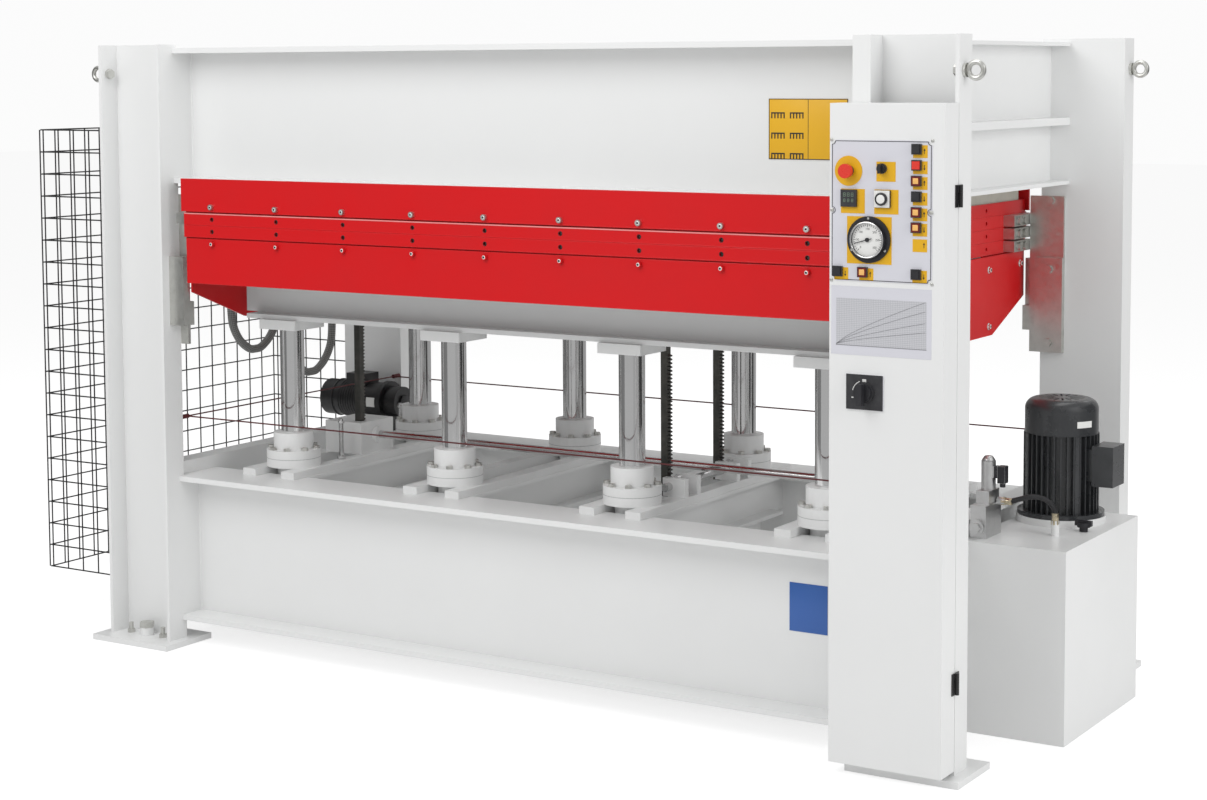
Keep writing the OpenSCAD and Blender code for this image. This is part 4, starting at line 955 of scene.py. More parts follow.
@dataclass
class HoseRun:
    """A hose along chosen points, made as one tube."""

    name: str
    node: str
    start: Point
    route: list[Point]
    diameter: float
    finish: Finish
    stiffness: str = "medium"
    lay: str = "hanging"
    moves_with: str = ""
    held_at: Point = (0.0, 0.0, 0.0)
    moved_at: Point = (0.0, 0.0, 0.0)
    round_steps: int = 5

    def ends(self) -> tuple[Point, Point]:
        """Gives the hose's two ends, in metres."""
        return tuple(tuple((Vector(self.start) + Vector(p)) * MM) for p in (self.route[0], self.route[-1]))

    def points(self, steps: int = 6) -> list[Vector]:
        """Gives a smooth line through the route.

        Args:
            steps: Points in each stretch.

        Returns:
            The line's points, in metres.
        """
        base = Vector(self.start)
        knots = [(base + Vector(p)) * MM for p in self.route]
        line: list[Vector] = []
        for i in range(len(knots) - 1):
            a = knots[max(i - 1, 0)]
            b, c = knots[i], knots[i + 1]
            d = knots[min(i + 2, len(knots) - 1)]
            for k in range(steps):
                t = k / steps
                line.append(0.5 * (2 * b + (c - a) * t + (2 * a - 5 * b + 4 * c - d) * t * t
                                   + (3 * b - a - 3 * c + d) * t ** 3))
        return line + [knots[-1]]

    def build(self) -> None:
        line = self.points()
        curve = bpy.data.curves.new(self.name, "CURVE")
        curve.dimensions = "3D"
        curve.bevel_depth = self.diameter * MM / 2
        curve.bevel_resolution = self.round_steps
        curve.use_fill_caps = True
        spline = curve.splines.new("POLY")
        spline.points.add(len(line) - 1)
        for point, place in zip(spline.points, line):
            point.co = (*place, 1.0)
        mesh = mesh_of(curve)
        mesh.name = self.name
        mesh.materials.clear()
        mesh.materials.append(material_of(self.finish))
        mesh.shade_smooth()
        piece = bpy.data.objects.new(self.name, mesh)
        bpy.context.scene.collection.objects.link(piece)
        if self.moves_with:
            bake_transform(piece)
        else:
            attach(piece, "frame")
        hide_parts(self.node)


@dataclass(frozen=True)
class HoseFitting:
    """Crimped collar and hexagon nut at a hose's end."""

    collar_r: float
    nut_r: float
    sides: int
    collar_edge: float
    nut_edge: float

    def add(self, shape: Shape, at: Point, axis: Axis, collar: Pair, nut: Pair) -> Shape:
        """Adds one fitting.

        Args:
            shape: The mesh that takes it.
            at: The hose's end.
            axis: The hose's direction there.
            collar: The collar's place along the axis and its length.
            nut: The nut's place along the axis and its length.

        Returns:
            The mesh.
        """
        shape.drum(along(at, axis, collar[0]), self.collar_r, collar[1], axis, self.sides, self.collar_edge)
        return shape.drum(along(at, axis, nut[0]), self.nut_r, nut[1], axis, HEXAGON, self.nut_edge)


@dataclass
class PressFrame:
    """Columns, beams, feet and their bare plates."""

    coats: Coats = field(default_factory=lambda: {
        Finish.WHITE: ["columns", "column_front_right", "foot_plates", "upper_frame", "end_beams",
                       "base_frame", "cylinder_barrels", "cylinder_heads", "rack_housings"],
        Finish.ZINC: ["frame_fasteners", "eye_bolts", "head_bolts", "guide_plates", "step_hangers",
                      "hose_header"],
        Finish.BOARD: ["insulation_board"],
        Finish.BLACK_PAINT: ["guard_mesh", "hinge_column_leaves", "circulation_pump"],
        Finish.GREY_PLASTIC: ["control_gear"],
        Finish.ROPE: ["safety_rope"]})
    web_y: float = -0.555
    plate_t: float = 0.0015
    plate_edge: float = 0.0006
    print_t: float = 0.0004
    print_line: float = 0.0022
    print_middle: float = 0.0015
    base_x: Pair = (1.010, 1.137)
    base_z: Pair = (0.325, 0.473)
    guide_x: Pair = (0.939, 1.198)
    guide_z: Pair = (1.739, 1.918)
    comb_from: Pair = (0.008, 0.040)
    comb_pitch: Pair = (0.062, 0.060)
    comb_size: Pair = (0.045, 0.004)
    comb_leg: float = 0.014
    seam_x: float = 1.3345
    seam_z: tuple[Pair, ...] = ((0.10, 0.577), (1.64, 2.07))
    seam_r: float = 0.004
    rail_top: float = 0.620
    post_at: tuple[Point, ...] = ((-0.978, -0.197, 0.765), (-1.160, 0.395, 0.733))
    post_r: float = 0.0085
    post_foot: Pair = (0.016, 0.010)
    post_nut: Pair = (0.0115, 0.008)
    nut_drop: float = 0.012
    cylinder_x: tuple[float, ...] = (-1.05, -0.35, 0.35, 1.05)
    cylinder_y: float = 0.375
    flange_z: float = 0.650
    flange_r: float = 0.0945
    joint_r: float = 0.0011
    pump_at: Point = (-1.320, 0.520, 0.715)
    pump_r: float = 0.0705
    fins: int = 9
    fin_from: float = -0.095
    fin_pitch: float = -0.012
    fin_r: float = 0.0024
    lip_from: float = -0.222
    lip_r: float = 0.0040
    pump_nut_from: float = 0.084
    pump_nut: Pair = (0.030, 0.008)
    pump_plate_from: float = -0.030
    pump_plate_r: float = 0.0708
    pump_plate: Pair = (0.001, 0.040)
    pump_plate_turn: Pair = (-105.0, 30.0)

    def build(self) -> None:
        """Dresses the frame and adds its plates and trim."""
        dress(self.coats)
        self.plates()
        self.welds()
        self.posts()
        self.pump_trim()

    def plates(self) -> None:
        """Adds the bare plates on the front beams."""
        front = self.web_y - self.plate_t
        for name, finish, (x0, x1), (z0, z1) in (
                ("base_plate", Finish.BLUE, self.base_x, self.base_z),
                ("loading_plate", Finish.YELLOW, self.guide_x, self.guide_z)):
            plate = Shape().block((x0, front, z0), (x1, self.web_y, z1), self.plate_edge)
            plate.finish(name, finish, "frame", "white_paint")
        (x0, x1), (z0, z1) = self.guide_x, self.guide_z
        marks = Shape().frame((x0, front - self.print_t, z0), (x1, front, z1), self.print_line)
        middle = (x0 + x1) / 2
        marks.block((middle, front - self.print_t, z0), (middle + self.print_middle, front, z1))
        for column in range(2):
            for row in range(3):
                self.comb(marks, x0 + self.comb_from[0] + self.comb_pitch[0] * column,
                          z1 - self.comb_from[1] - self.comb_pitch[1] * row, front)
        marks.finish("loading_marks", Finish.INK, "frame", "white_paint")

    def comb(self, shape: Shape, x: float, z: float, front: float) -> None:
        """Adds one small sign of a bar on five legs.

        Args:
            shape: The mesh that takes it.
            x: Its left end.
            z: Its top.
            front: The face that it lies on.
        """
        wide, thick = self.comb_size
        back = front - self.print_t
        shape.block((x, back, z - thick), (x + wide, front, z))
        for k in range(5):
            place = x + k * (wide - thick) / 4
            shape.block((place, back, z - thick - self.comb_leg), (place + thick, front, z - thick))

    def welds(self) -> None:
        """Adds the weld seams where the long beams meet the columns."""
        shape = Shape()
        for side in (-1, 1):
            for z0, z1 in self.seam_z:
                place = (side * self.seam_x, self.web_y, (z0 + z1) / 2)
                shape.drum(place, self.seam_r, z1 - z0, Axis.Z, 8)
        shape.finish("weld_seams", Finish.WHITE, "frame", "white_paint")

    def posts(self) -> None:
        """Adds the stop posts on the base rails and the joint lines of the cylinder flanges."""
        shape = Shape()
        foot_r, foot_h = self.post_foot
        nut_r, nut_h = self.post_nut
        low = self.rail_top
        for x, y, top in self.post_at:
            shape.drum((x, y, (low + top) / 2), self.post_r, top - low, Axis.Z, 24, EDGE)
            shape.drum((x, y, low + foot_h / 2), foot_r, foot_h, Axis.Z, HEXAGON, EDGE)
            shape.drum((x, y, top - self.nut_drop), nut_r, nut_h, Axis.Z, HEXAGON, FINE_EDGE)
        shape.finish("stop_posts", Finish.STEEL, "frame", "zinc_steel")
        joints = Shape()
        for x in self.cylinder_x:
            for y in (-self.cylinder_y, self.cylinder_y):
                joints.ring((x, y, self.flange_z), self.flange_r, self.joint_r, Axis.Z, 48, 6)
        joints.finish("flange_joints", Finish.GREY_PLASTIC, "frame", "white_paint")

    def pump_trim(self) -> None:
        """Adds the circulation pump's fins, cover lip, nut and bare plate."""
        x, y, z = self.pump_at
        fins = Shape()
        for k in range(self.fins):
            fins.ring((x + self.fin_from + self.fin_pitch * k, y, z), self.pump_r, self.fin_r, Axis.X, 40, 6)
        fins.ring((x + self.lip_from, y, z), self.pump_r, self.lip_r, Axis.X, 40, 8)
        fins.drum((x + self.pump_nut_from, y, z), *self.pump_nut, Axis.X, HEXAGON, EDGE)
        fins.finish("pump_fins", Finish.BLACK_PAINT, "frame", "black_parts")
        plate = Shape().bow((x + self.pump_plate_from, y, z), self.pump_plate_r, self.pump_plate,
                            *self.pump_plate_turn, Axis.X)
        plate.finish("pump_plate", Finish.WHITE_PLASTIC, "frame", "white_paint")


@dataclass
class PlatenStack:
    """Platens, their red edge plates, lugs, table, rods and synchronising gear."""

    coats: Coats = field(default_factory=lambda: {
        Finish.RED: ["upper_platen", "upper_edge_bands", "middle_platen_upper", "middle_platen_lower",
                     "lower_platen", "lower_skirts"],
        Finish.ZINC: ["lugs_upper", "lugs_lower", "table_lugs"],
        Finish.WHITE: ["table_frame"],
        Finish.CHROME: ["piston_rods"],
        Finish.OILED: ["sync_racks"],
        Finish.STEEL: ["sync_shaft_long", "sync_shaft_cross"]})
    levels: tuple[float, ...] = (1.54525, 1.50325, 1.46125, 1.41925)
    platen_t: float = 0.0415
    platen_l: float = 2.52
    band_face: float = 0.688
    band_l: float = 2.544
    band_top: float = 1.641
    band_lift: float = 0.004
    skirt_face: float = 0.686
    skirt_l: float = 2.504
    skirt_z: Pair = (1.28125, 1.43625)
    end_face: float = 1.268
    edge_r: float = 0.0022
    edge_in: float = 0.0018
    # Pale red strip painted as a highlight along the upper middle platen's top edges
    highlight_half: float = 1.258
    highlight_t: float = 0.0009
    highlight_drop: Pair = (0.0042, 0.0004)
    ground_half: float = 1.256
    ground_in: float = 0.004
    ground_t: float = 0.00015
    screw_pitch: float = 0.2835
    screws: int = 9
    screw: Pair = (0.0104, 0.0108)
    end_screw: Pair = (0.0125, 0.0088)
    end_at: tuple[Pair, ...] = ((0.346, 1.3525), (0.346, 1.1685), (0.613, 1.3555))
    # Dark hexagons painted on the screw heads as the shade in their sockets
    socket_shade_share: float = 0.36
    end_socket_shade_r: float = 0.0042
    socket_shade_t: float = 0.0008
    plug_in: float = 0.006
    plug: Pair = (0.0052, 0.004)
    # Dark ring painted round each plug hole as shade
    shade_ring_r: float = 0.0068
    shade_ring_t: float = 0.0009
    hose_d: float = 30.0
    fitting: HoseFitting = HoseFitting(0.0185, 0.021, 32, 2 * EDGE, EDGE)
    platen_end: tuple[Pair, Pair] = ((0.004, 0.03), (0.029, 0.022))
    header_end: tuple[Pair, Pair] = ((-0.004, 0.034), (0.020, 0.018))

    def build(self) -> None:
        """Hangs the hoses, dresses the stack and adds its screws and faces."""
        self.hoses()
        dress(self.coats)
        self.all_screws()
        self.plugs()
        self.rounds()
        self.working_faces()

    def hoses(self) -> None:
        """Hangs the two hoses between the header pipe and the middle platens."""
        top = [(0, 0, 0), (-15, 0, 0), (-50, 0, -12), (-85, 0, -35), (-110, 0, -75), (-120, 0, -120)]
        upper = top + [(-120, 0, -200), (-120, 0, -280), (-120, 0, -360), (-120, 10, -425),
                       (-120, 45, -480), (-120, 95, -515), (-120, 130, -520), (-120, 165, -515),
                       (-120, 215, -480), (-120, 250, -425), (-120, 260, -360), (-120, 260, -280),
                       (-120, 260, -200), (-120, 260, -120), (-120, 260, -55)]
        lower = top + [(-120, 0, -200), (-120, 0, -280), (-120, 0, -360), (-120, 0, -440),
                       (-120, 10, -505), (-120, 45, -560), (-120, 95, -595), (-120, 130, -600),
                       (-120, 165, -595), (-120, 215, -560), (-120, 250, -505), (-120, 260, -440),
                       (-120, 260, -360), (-120, 260, -280), (-120, 260, -200), (-120, 260, -120),
                       (-120, 260, -15)]
        runs = [HoseRun("hose_upper", "platen_hose_upper", (-1310, -260, 1503.25), upper, self.hose_d,
                        Finish.HOSE, moves_with="middle_upper", held_at=(-1.43, 0.0, 1.2),
                        moved_at=(-1.43, -0.26, 1.2)),
                HoseRun("hose_lower", "platen_hose_lower", (-1310, 60, 1461.25), lower, self.hose_d,
                        Finish.HOSE, moves_with="middle_lower", held_at=(-1.43, 0.32, 1.2),
                        moved_at=(-1.43, 0.06, 1.2))]
        for run in runs:
            run.build()
        for run in runs:
            near, far = run.ends()
            name = run.name.replace("hose", "ferrules")
            sleeve = self.fitting.add(Shape(), near, Axis.X, *self.platen_end)
            sleeve.finish(name + "_platen", Finish.BRASS, run.moves_with, "zinc_steel")
            cuff = self.fitting.add(Shape(), far, Axis.Z, *self.header_end)
            cuff.finish(name + "_header", Finish.BRASS, "frame", "zinc_steel")

    def stations(self) -> list[float]:
        """Gives the X of each screw along a platen."""
        half = (self.screws - 1) / 2
        return [(k - half) * self.screw_pitch for k in range(self.screws)]

    def screw_set(self, name: str, body: str, seats: list[tuple[Point, int]], axis: Axis, screw: Pair,
                  socket_shade_r: float) -> None:
        """Adds screw heads, each with a dark hexagon painted on its top as the shade inside its socket.

        Args:
            name: Name of the heads.
            body: The body that they move with.
            seats: Where each head sits and which way it stands out, 1 or -1.
            axis: The axis across their face.
            screw: A head's radius and height.
            socket_shade_r: Radius of a socket.
        """
        heads, sockets = Shape(), Shape()
        for at, side in seats:
            heads.button(at, *screw, axis, side)
            # Dark hexagon on each head: painted shade standing for the recess of its socket
            sockets.drum(along(at, axis, side * screw[1]), socket_shade_r, self.socket_shade_t, axis, HEXAGON)
        heads.finish(name, Finish.BRIGHT, body, "zinc_steel")
        sockets.finish(name + "_socket_shade", Finish.INK, body, "black_parts")

    def all_screws(self) -> None:
        """Adds the screws along the front and rear edge plates and on the end skirts."""
        for name, body, z, face in (("band_screws", "frame", self.levels[0], self.band_face),
                                    ("skirt_screws", "table", self.levels[3], self.skirt_face)):
            seats = [((x, side * face, z), side) for side in (-1, 1) for x in self.stations()]
            self.screw_set(name, body, seats, Axis.Y, self.screw, self.screw[0] * self.socket_shade_share)
        seats = [((side * self.end_face, way * y, z), side)
                 for side in (-1, 1) for y, z in self.end_at for way in (-1, 1)]
        self.screw_set("end_screws", "table", seats, Axis.X, self.end_screw, self.end_socket_shade_r)

    def plugs(self) -> None:
        """Adds the screwed plugs sunk in the edges of the middle platens, in dark oiled steel that also
        stands for the shade in their holes, and dark rings painted round the holes' mouths as shade.
        """
        for name, body, z in (("middle_platen_upper", "middle_upper", self.levels[1]),
                              ("middle_platen_lower", "middle_lower", self.levels[2])):
            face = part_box(name)[1][1]
            shape, rims = Shape(), Shape()
            for side in (-1, 1):
                for x in self.stations():
                    shape.drum((x, side * (face - self.plug_in), z), *self.plug, Axis.Y, 16, EDGE)
                    # Dark ring on the platen edge round each hole: painted shade that makes the hole read
                    # larger and darker
                    rims.ring((x, side * face, z), self.shade_ring_r, self.shade_ring_t, Axis.Y, 24, 6)
            shape.finish(name + "_plugs", Finish.OILED, body, "zinc_steel")
            rims.finish(name + "_shade_rings", Finish.INK, body, "black_parts")

    def rounds(self) -> None:
        """Adds the rounded long edges of the platens and edge plates, and a pale red strip painted on as the
        highlight along the upper middle platen's top edges.
        """
        half = self.platen_t / 2
        band, upper, lower, _ = ((z - half, z + half) for z in self.levels)
        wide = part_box("middle_platen_upper")[1][1]
        for name, body, face, length, (low, high) in (
                ("band", "frame", self.band_face, self.band_l, (band[0] + self.band_lift, self.band_top)),
                ("upper", "middle_upper", wide, self.platen_l, upper),
                ("lower", "middle_lower", wide, self.platen_l, lower),
                ("skirt", "table", self.skirt_face, self.skirt_l, self.skirt_z)):
            shape = Shape()
            for side in (-1, 1):
                for z in (low + self.edge_in, high - self.edge_in):
                    shape.drum((0.0, side * (face - self.edge_in), z), self.edge_r, length, Axis.X, 12)
            shape.finish(name + "_edges", Finish.RED, body, "red_paint")
        # Pale red strip along the upper middle platen's top front and rear edges: a painted highlight, the
        # light that this edge catches
        low, high = (upper[1] - drop for drop in self.highlight_drop)
        worn = Shape()
        for side in (-1, 1):
            near, far = sorted((side * wide, side * (wide + self.highlight_t)))
            worn.block((-self.highlight_half, near, low), (self.highlight_half, far, high))
        worn.finish("worn_edges", Finish.RED_EDGE_HIGHLIGHT, "middle_upper", "red_paint")

    def working_faces(self) -> None:
        """Adds the ground steel faces that press the boards."""
        skin = self.ground_t / 2
        for name, body, level, sides in (("upper_platen", "frame", 0, (-1,)),
                                         ("middle_platen_upper", "middle_upper", 1, (-1, 1)),
                                         ("middle_platen_lower", "middle_lower", 2, (-1, 1)),
                                         ("lower_platen", "table", 3, (1,))):
            long, wide = self.ground_half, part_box(name)[1][1] - self.ground_in
            shape = Shape()
            for side in sides:
                z = self.levels[level] + side * (self.platen_t / 2 + skin)
                shape.block((-long, -wide, z - skin), (long, wide, z + skin))
            shape.finish(name + "_face", Finish.GROUND, body, "polished_steel")


@dataclass
class HydraulicUnit:
    """Oil tank, pump motor, valve and hose at the right end."""

    coats: Coats = field(default_factory=lambda: {
        Finish.WHITE: ["oil_tank", "tank_lid"],
        Finish.DARK: ["pump_motor", "motor_fan_cover", "motor_terminal_box"],
        Finish.BLACK: ["motor_rotor", "filler_cap"],
        Finish.ALUMINIUM: ["valve_block", "solenoid_valve"]})
    hose_start: Point = (1510.0, -95.0, 690.0)
    hose_d: float = 16.0
    fitting: HoseFitting = HoseFitting(0.0106, 0.0135, 24, EDGE, FINE_EDGE)
    valve_end: tuple[Pair, Pair] = ((0.010, 0.022), (-0.006, 0.012))
    lid_end: tuple[Pair, Pair] = ((0.011, 0.024), (-0.006, 0.012))
    motor_plate_at: Point = (1.570, 0.215, 0.903)
    motor_plate_r: float = 0.1146
    motor_plate: Pair = (0.001, 0.020)
    motor_plate_turn: Pair = (-45.0, 28.0)
    coil: Pair = (1.460, -0.110)
    cap_z: float = 0.8215
    cap: Pair = (0.0217, 0.015)
    cap_edge: float = 0.004
    cap_tip_r: float = 0.012
    neck_x: Pair = (0.0225, 0.0345)
    neck_half: float = 0.0146
    neck_z: Pair = (0.7634, 0.7986)
    plug_x: Pair = (0.0336, 0.0587)
    plug_half: float = 0.0156
    plug_z: Pair = (0.7474, 0.8007)
    plug_edge: float = 0.0025
    gland_at: Pair = (0.046, 0.742)
    gland: Pair = (0.0085, 0.014)

    def build(self) -> None:
        """Lays the hose, dresses the unit and adds its fittings and plate."""
        route = [(0, 0, 0), (10, 0, 0), (40, 8, 8), (70, 22, 16), (96, 38, 14), (118, 54, 0),
                 (131, 65, -24), (134, 67, -48), (134, 67, -58)]
        run = HoseRun("tank_hose", "pressure_hose", self.hose_start, route, self.hose_d, Finish.PLAIN_HOSE,
                      "stiff", "loose")
        run.build()
        dress(self.coats)
        near, far = run.ends()
        ends = self.fitting.add(Shape(), near, Axis.X, *self.valve_end)
        self.fitting.add(ends, far, Axis.Z, *self.lid_end)
        ends.finish("hose_fittings", Finish.BRASS, "frame", "zinc_steel")
        self.valve_head()
        plate = Shape().bow(self.motor_plate_at, self.motor_plate_r, self.motor_plate,
                            *self.motor_plate_turn, Axis.Z)
        plate.finish("motor_plate", Finish.WHITE_PLASTIC, "frame")

    def valve_head(self) -> None:
        """Adds the coil's domed cap and the black connector on its side."""
        x, y = self.coil
        cap = Shape().drum((x, y, self.cap_z), *self.cap, Axis.Z, 32, self.cap_edge, self.cap_tip_r)
        cap.finish("coil_cap", Finish.ALUMINIUM, "frame", "zinc_steel")
        plug = Shape()
        for (x0, x1), half, (z0, z1), edge in (
                (self.neck_x, self.neck_half, self.neck_z, EDGE),
                (self.plug_x, self.plug_half, self.plug_z, self.plug_edge)):
            plug.block((x + x0, y - half, z0), (x + x1, y + half, z1), edge)
        plug.drum((x + self.gland_at[0], y, self.gland_at[1]), *self.gland, Axis.Z, 16, EDGE)
        plug.finish("coil_connector", Finish.BLACK, "frame", "black_parts")


@dataclass
class ControlDoor:
    """Control door with its panel, labels, lamps, instruments and gauge."""

    coats: Coats = field(default_factory=lambda: {
        Finish.WHITE: ["cabinet_door"],
        Finish.BLACK_PAINT: ["hinge_door_leaves"],
        Finish.PANEL: ["control_panel"],
        Finish.BLACK: ["pressure_gauge", "gauge_needle", "selector_knob", "main_switch_handle",
                       "start_button", "raise_button", "lower_button", "reset_button"],
        Finish.RED_PLASTIC: ["emergency_stop", "stop_button"]})
    panel_x: Pair = (1.274, 1.579)
    panel_z: Pair = (1.415, 1.808)
    face: float = -0.817
    door_face: float = -0.815
    sheet_t: float = 0.0006
    ink_t: float = 0.0004
    button_x: float = 1.534
    rows: tuple[float, ...] = (1.785, 1.741, 1.698, 1.655, 1.612, 1.570, 1.527)
    low_row: tuple[float, ...] = (1.296, 1.373, 1.534)
    low_z: float = 1.441
    lit: tuple[int, ...] = (2, 4, 5, 8)
    lens_half: float = 0.008
    lens_y: Pair = (0.0122, 0.0098)
    lamp_half: float = 0.0124
    lamp_y: Pair = (0.0108, 0.0006)
    lamp_side: float = 0.0044
    # Each label reaches left, right, below and above its fitting
    cell_label: tuple[float, ...] = (0.012, 0.031, 0.024, 0.011)
    selector_label: tuple[float, ...] = (0.018, 0.040, 0.036, 0.019)
    instrument_label: tuple[float, ...] = (0.026, 0.047, 0.042, 0.026)
    gauge_label: tuple[float, ...] = (0.068, 0.068, 0.068, 0.064)
    stop: Pair = (1.327, 1.722)
    stop_label_r: float = 0.02925
    stop_label: Pair = (0.0255, 0.0014)
    stop_lift: float = 0.0007
    selector: Pair = (1.430, 1.730)
    controller: Pair = (1.330, 1.646)
    timer: Pair = (1.432, 1.646)
    timer_half: float = 0.0235
    timer_y: Pair = (0.0095, 0.0075)
    timer_ring_y: float = 0.0150
    timer_ring: Pair = (0.0155, 0.0026)
    timer_knob_y: float = 0.0155
    timer_knob: Pair = (0.0125, 0.005)
    timer_knob_edge: float = 0.0012
    arrow_at: Pair = (0.022, -0.006)
    arrow_shift: float = 0.004
    arrow_r: float = 0.0036
    arrow_y: float = 0.0008
    stem_half: Pair = (0.0008, 0.007)
    border_in: float = 0.003
    border_line: float = 0.0017
    border_bend: float = 0.0095
    corner_screw: Pair = (0.0055, 0.0035)
    side_screw: Pair = (0.0065, 0.0035)
    gauge: Pair = (1.391, 1.532)
    dial_lift: float = 0.010
    dial: Pair = (0.0475, 0.0012)
    rim_y: float = 0.0195
    rim: Pair = (0.049, 0.0026)
    scale_turn: Pair = (225.0, 270.0)
    scale_marks: int = 30
    scale_r: float = 0.043
    scale_in: Pair = (0.036, 0.039)
    scale_ink: Pair = (0.0003, 0.0011)
    scale_lift: float = 0.0014
    numeral_r: float = 0.030
    numeral_h: float = 0.006
    gauge_screw_r: float = 0.0585
    gauge_screw_y: float = 0.0065
    gauge_screw: Pair = (0.0038, 0.003)
    digit_rows: tuple[Pair, ...] = ((0.010, 0.010), (-0.006, 0.008))
    digit_pitch: float = 0.012
    digit_y: float = 0.0084
    digit_half_line: float = 0.0007
    digit_share: float = 0.3
    chart_x: Pair = (1.290, 1.564)
    chart_z: Pair = (1.234, 1.366)
    chart_y: float = 0.0008
    chart_rises: tuple[float, ...] = (0.35, 0.55, 0.80, 1.0)
    chart_step: Pair = (0.030, 0.128)
    chart_steps: int = 9
    chart_line: float = 0.0011
    chart_foot: float = 0.0016
    chart_past: float = 0.0005
    chart_lift: float = 0.002
    chart_power: float = 0.8
    marks_y: float = 0.0052
    bar_half: float = 0.006
    bar_z: Pair = (0.033, 0.041)
    arc_r: float = 0.0365
    arc_line: float = 0.0022
    arc_turn: Pair = (112.0, 55.0)
    tick_at: Pair = (-0.036, -0.012)
    tick: Pair = (0.006, 0.003)

    def build(self) -> None:
        """Dresses the door and adds what is fixed to it."""
        dress(self.coats)
        self.labels()
        self.arrows()
        self.lamps()
        self.border()
        self.gauge_face()
        self.instruments()
        self.chart()
        self.switch_marks()

    def cells(self) -> list[Pair]:
        """Gives the X and Z of each button and signal lamp."""
        return [(self.button_x, z) for z in self.rows] + [(x, self.low_z) for x in self.low_row]

    def square(self, at: Pair, half: float, depth: Pair) -> tuple[Point, Point]:
        """Gives the two corners of a square fitting that stands out from the panel.

        Args:
            at: X and Z of its centre.
            half: Half of its width.
            depth: How far its front and its back stand out.

        Returns:
            Its lowest and its highest corner.
        """
        front, back = (self.face - out for out in depth)
        return (at[0] - half, front, at[1] - half), (at[0] + half, back, at[1] + half)

    def round_gauge(self, radius: float, angle: float, y: float) -> Point:
        """Gives a point round the gauge's centre, at an angle in radians."""
        return self.gauge[0] + radius * math.cos(angle), y, self.gauge[1] + radius * math.sin(angle)

    def labels(self) -> None:
        """Adds the yellow labels beside the buttons and instruments."""
        shape = Shape()
        sizes = {cell: self.cell_label for cell in self.cells()}
        sizes[self.selector] = self.selector_label
        sizes[self.controller] = sizes[self.timer] = self.instrument_label
        sizes[self.gauge] = self.gauge_label
        for (x, z), (left, right, below, above) in sizes.items():
            shape.block((x - left, self.face - self.sheet_t, z - below), (x + right, self.face, z + above))
        x, z = self.stop
        for start in (0, 180):
            shape.bow((x, self.face - self.stop_lift, z), self.stop_label_r, self.stop_label, start, 180,
                      Axis.Y, 24)
        shape.finish("panel_labels", Finish.LABEL, "door", "panel_sheet")

    def arrows(self) -> None:
        """Prints a plain arrow on each button's label."""
        shape = Shape()
        y, ink = self.face - self.arrow_y, self.ink_t / 2
        wide, tall = self.stem_half
        for number, (x, z) in enumerate(self.cells()):
            x, z = x + self.arrow_at[0], z + self.arrow_at[1]
            up = 1 - 2 * (number % 2)
            shape.drum((x, y, z + self.arrow_shift * up), self.arrow_r, self.ink_t, Axis.Y, 3,
                       turn=90.0 - 90.0 * up)
            shape.block((x - wide, y - ink, z - tall), (x + wide, y + ink, z + tall))
        shape.finish("label_arrows", Finish.INK, "door", "panel_sheet")

    def lamps(self) -> None:
        """Adds the lenses of the signal lamps and their dark red frames."""
        lenses, frames = Shape(), Shape()
        cells = self.cells()
        for number in self.lit:
            lenses.block(*self.square(cells[number], self.lens_half, self.lens_y), EDGE)
            frames.frame(*self.square(cells[number], self.lamp_half, self.lamp_y), self.lamp_side)
        lenses.finish("lamp_lenses", Finish.LENS, "door", "panel_sheet")
        frames.finish("lamp_frames", Finish.LAMP_FRAME, "door", "panel_sheet")

    def border(self) -> None:
        """Adds the dark line round the panel, bent in round its screws, and the screws."""
        (x0, x1), (z0, z1) = self.panel_x, self.panel_z
        inset, bend, thick = self.border_in, self.border_bend, self.sheet_t
        line = self.border_line
        y = self.face - thick / 2
        left, right, low, high = x0 + inset, x1 - inset, z0 + inset, z1 - inset
        middle = (low + high) / 2
        shape = Shape()
        for z in (low, high):
            shape.dash(((left + right) / 2, y, z), (right - left - 2 * bend, thick, line), 0.0)
        for x in (left, right):
            for a, b in ((low + bend, middle - bend), (middle + bend, high - bend)):
                shape.dash((x, y, (a + b) / 2), (b - a, thick, line), QUARTER)
        for x, z, start in ((left, low, 0), (right, low, 90), (right, high, 180), (left, high, 270)):
            shape.bow((x, y, z), bend, (line, thick), start, 90, Axis.Y)
        for x, start in ((left, -90), (right, 90)):
            shape.bow((x, y, middle), bend, (line, thick), start, 180, Axis.Y)
        shape.finish("panel_border", Finish.INK, "door", "panel_sheet")
        screws = Shape()
        for x, z in ((x0, z0), (x1, z0), (x0, z1), (x1, z1)):
            screws.button((x, self.door_face, z), *self.corner_screw, Axis.Y, -1)
        for x in (left, right):
            screws.button((x, self.face, middle), *self.side_screw, Axis.Y, -1)
        screws.finish("panel_screws", Finish.ZINC, "door", "zinc_steel")

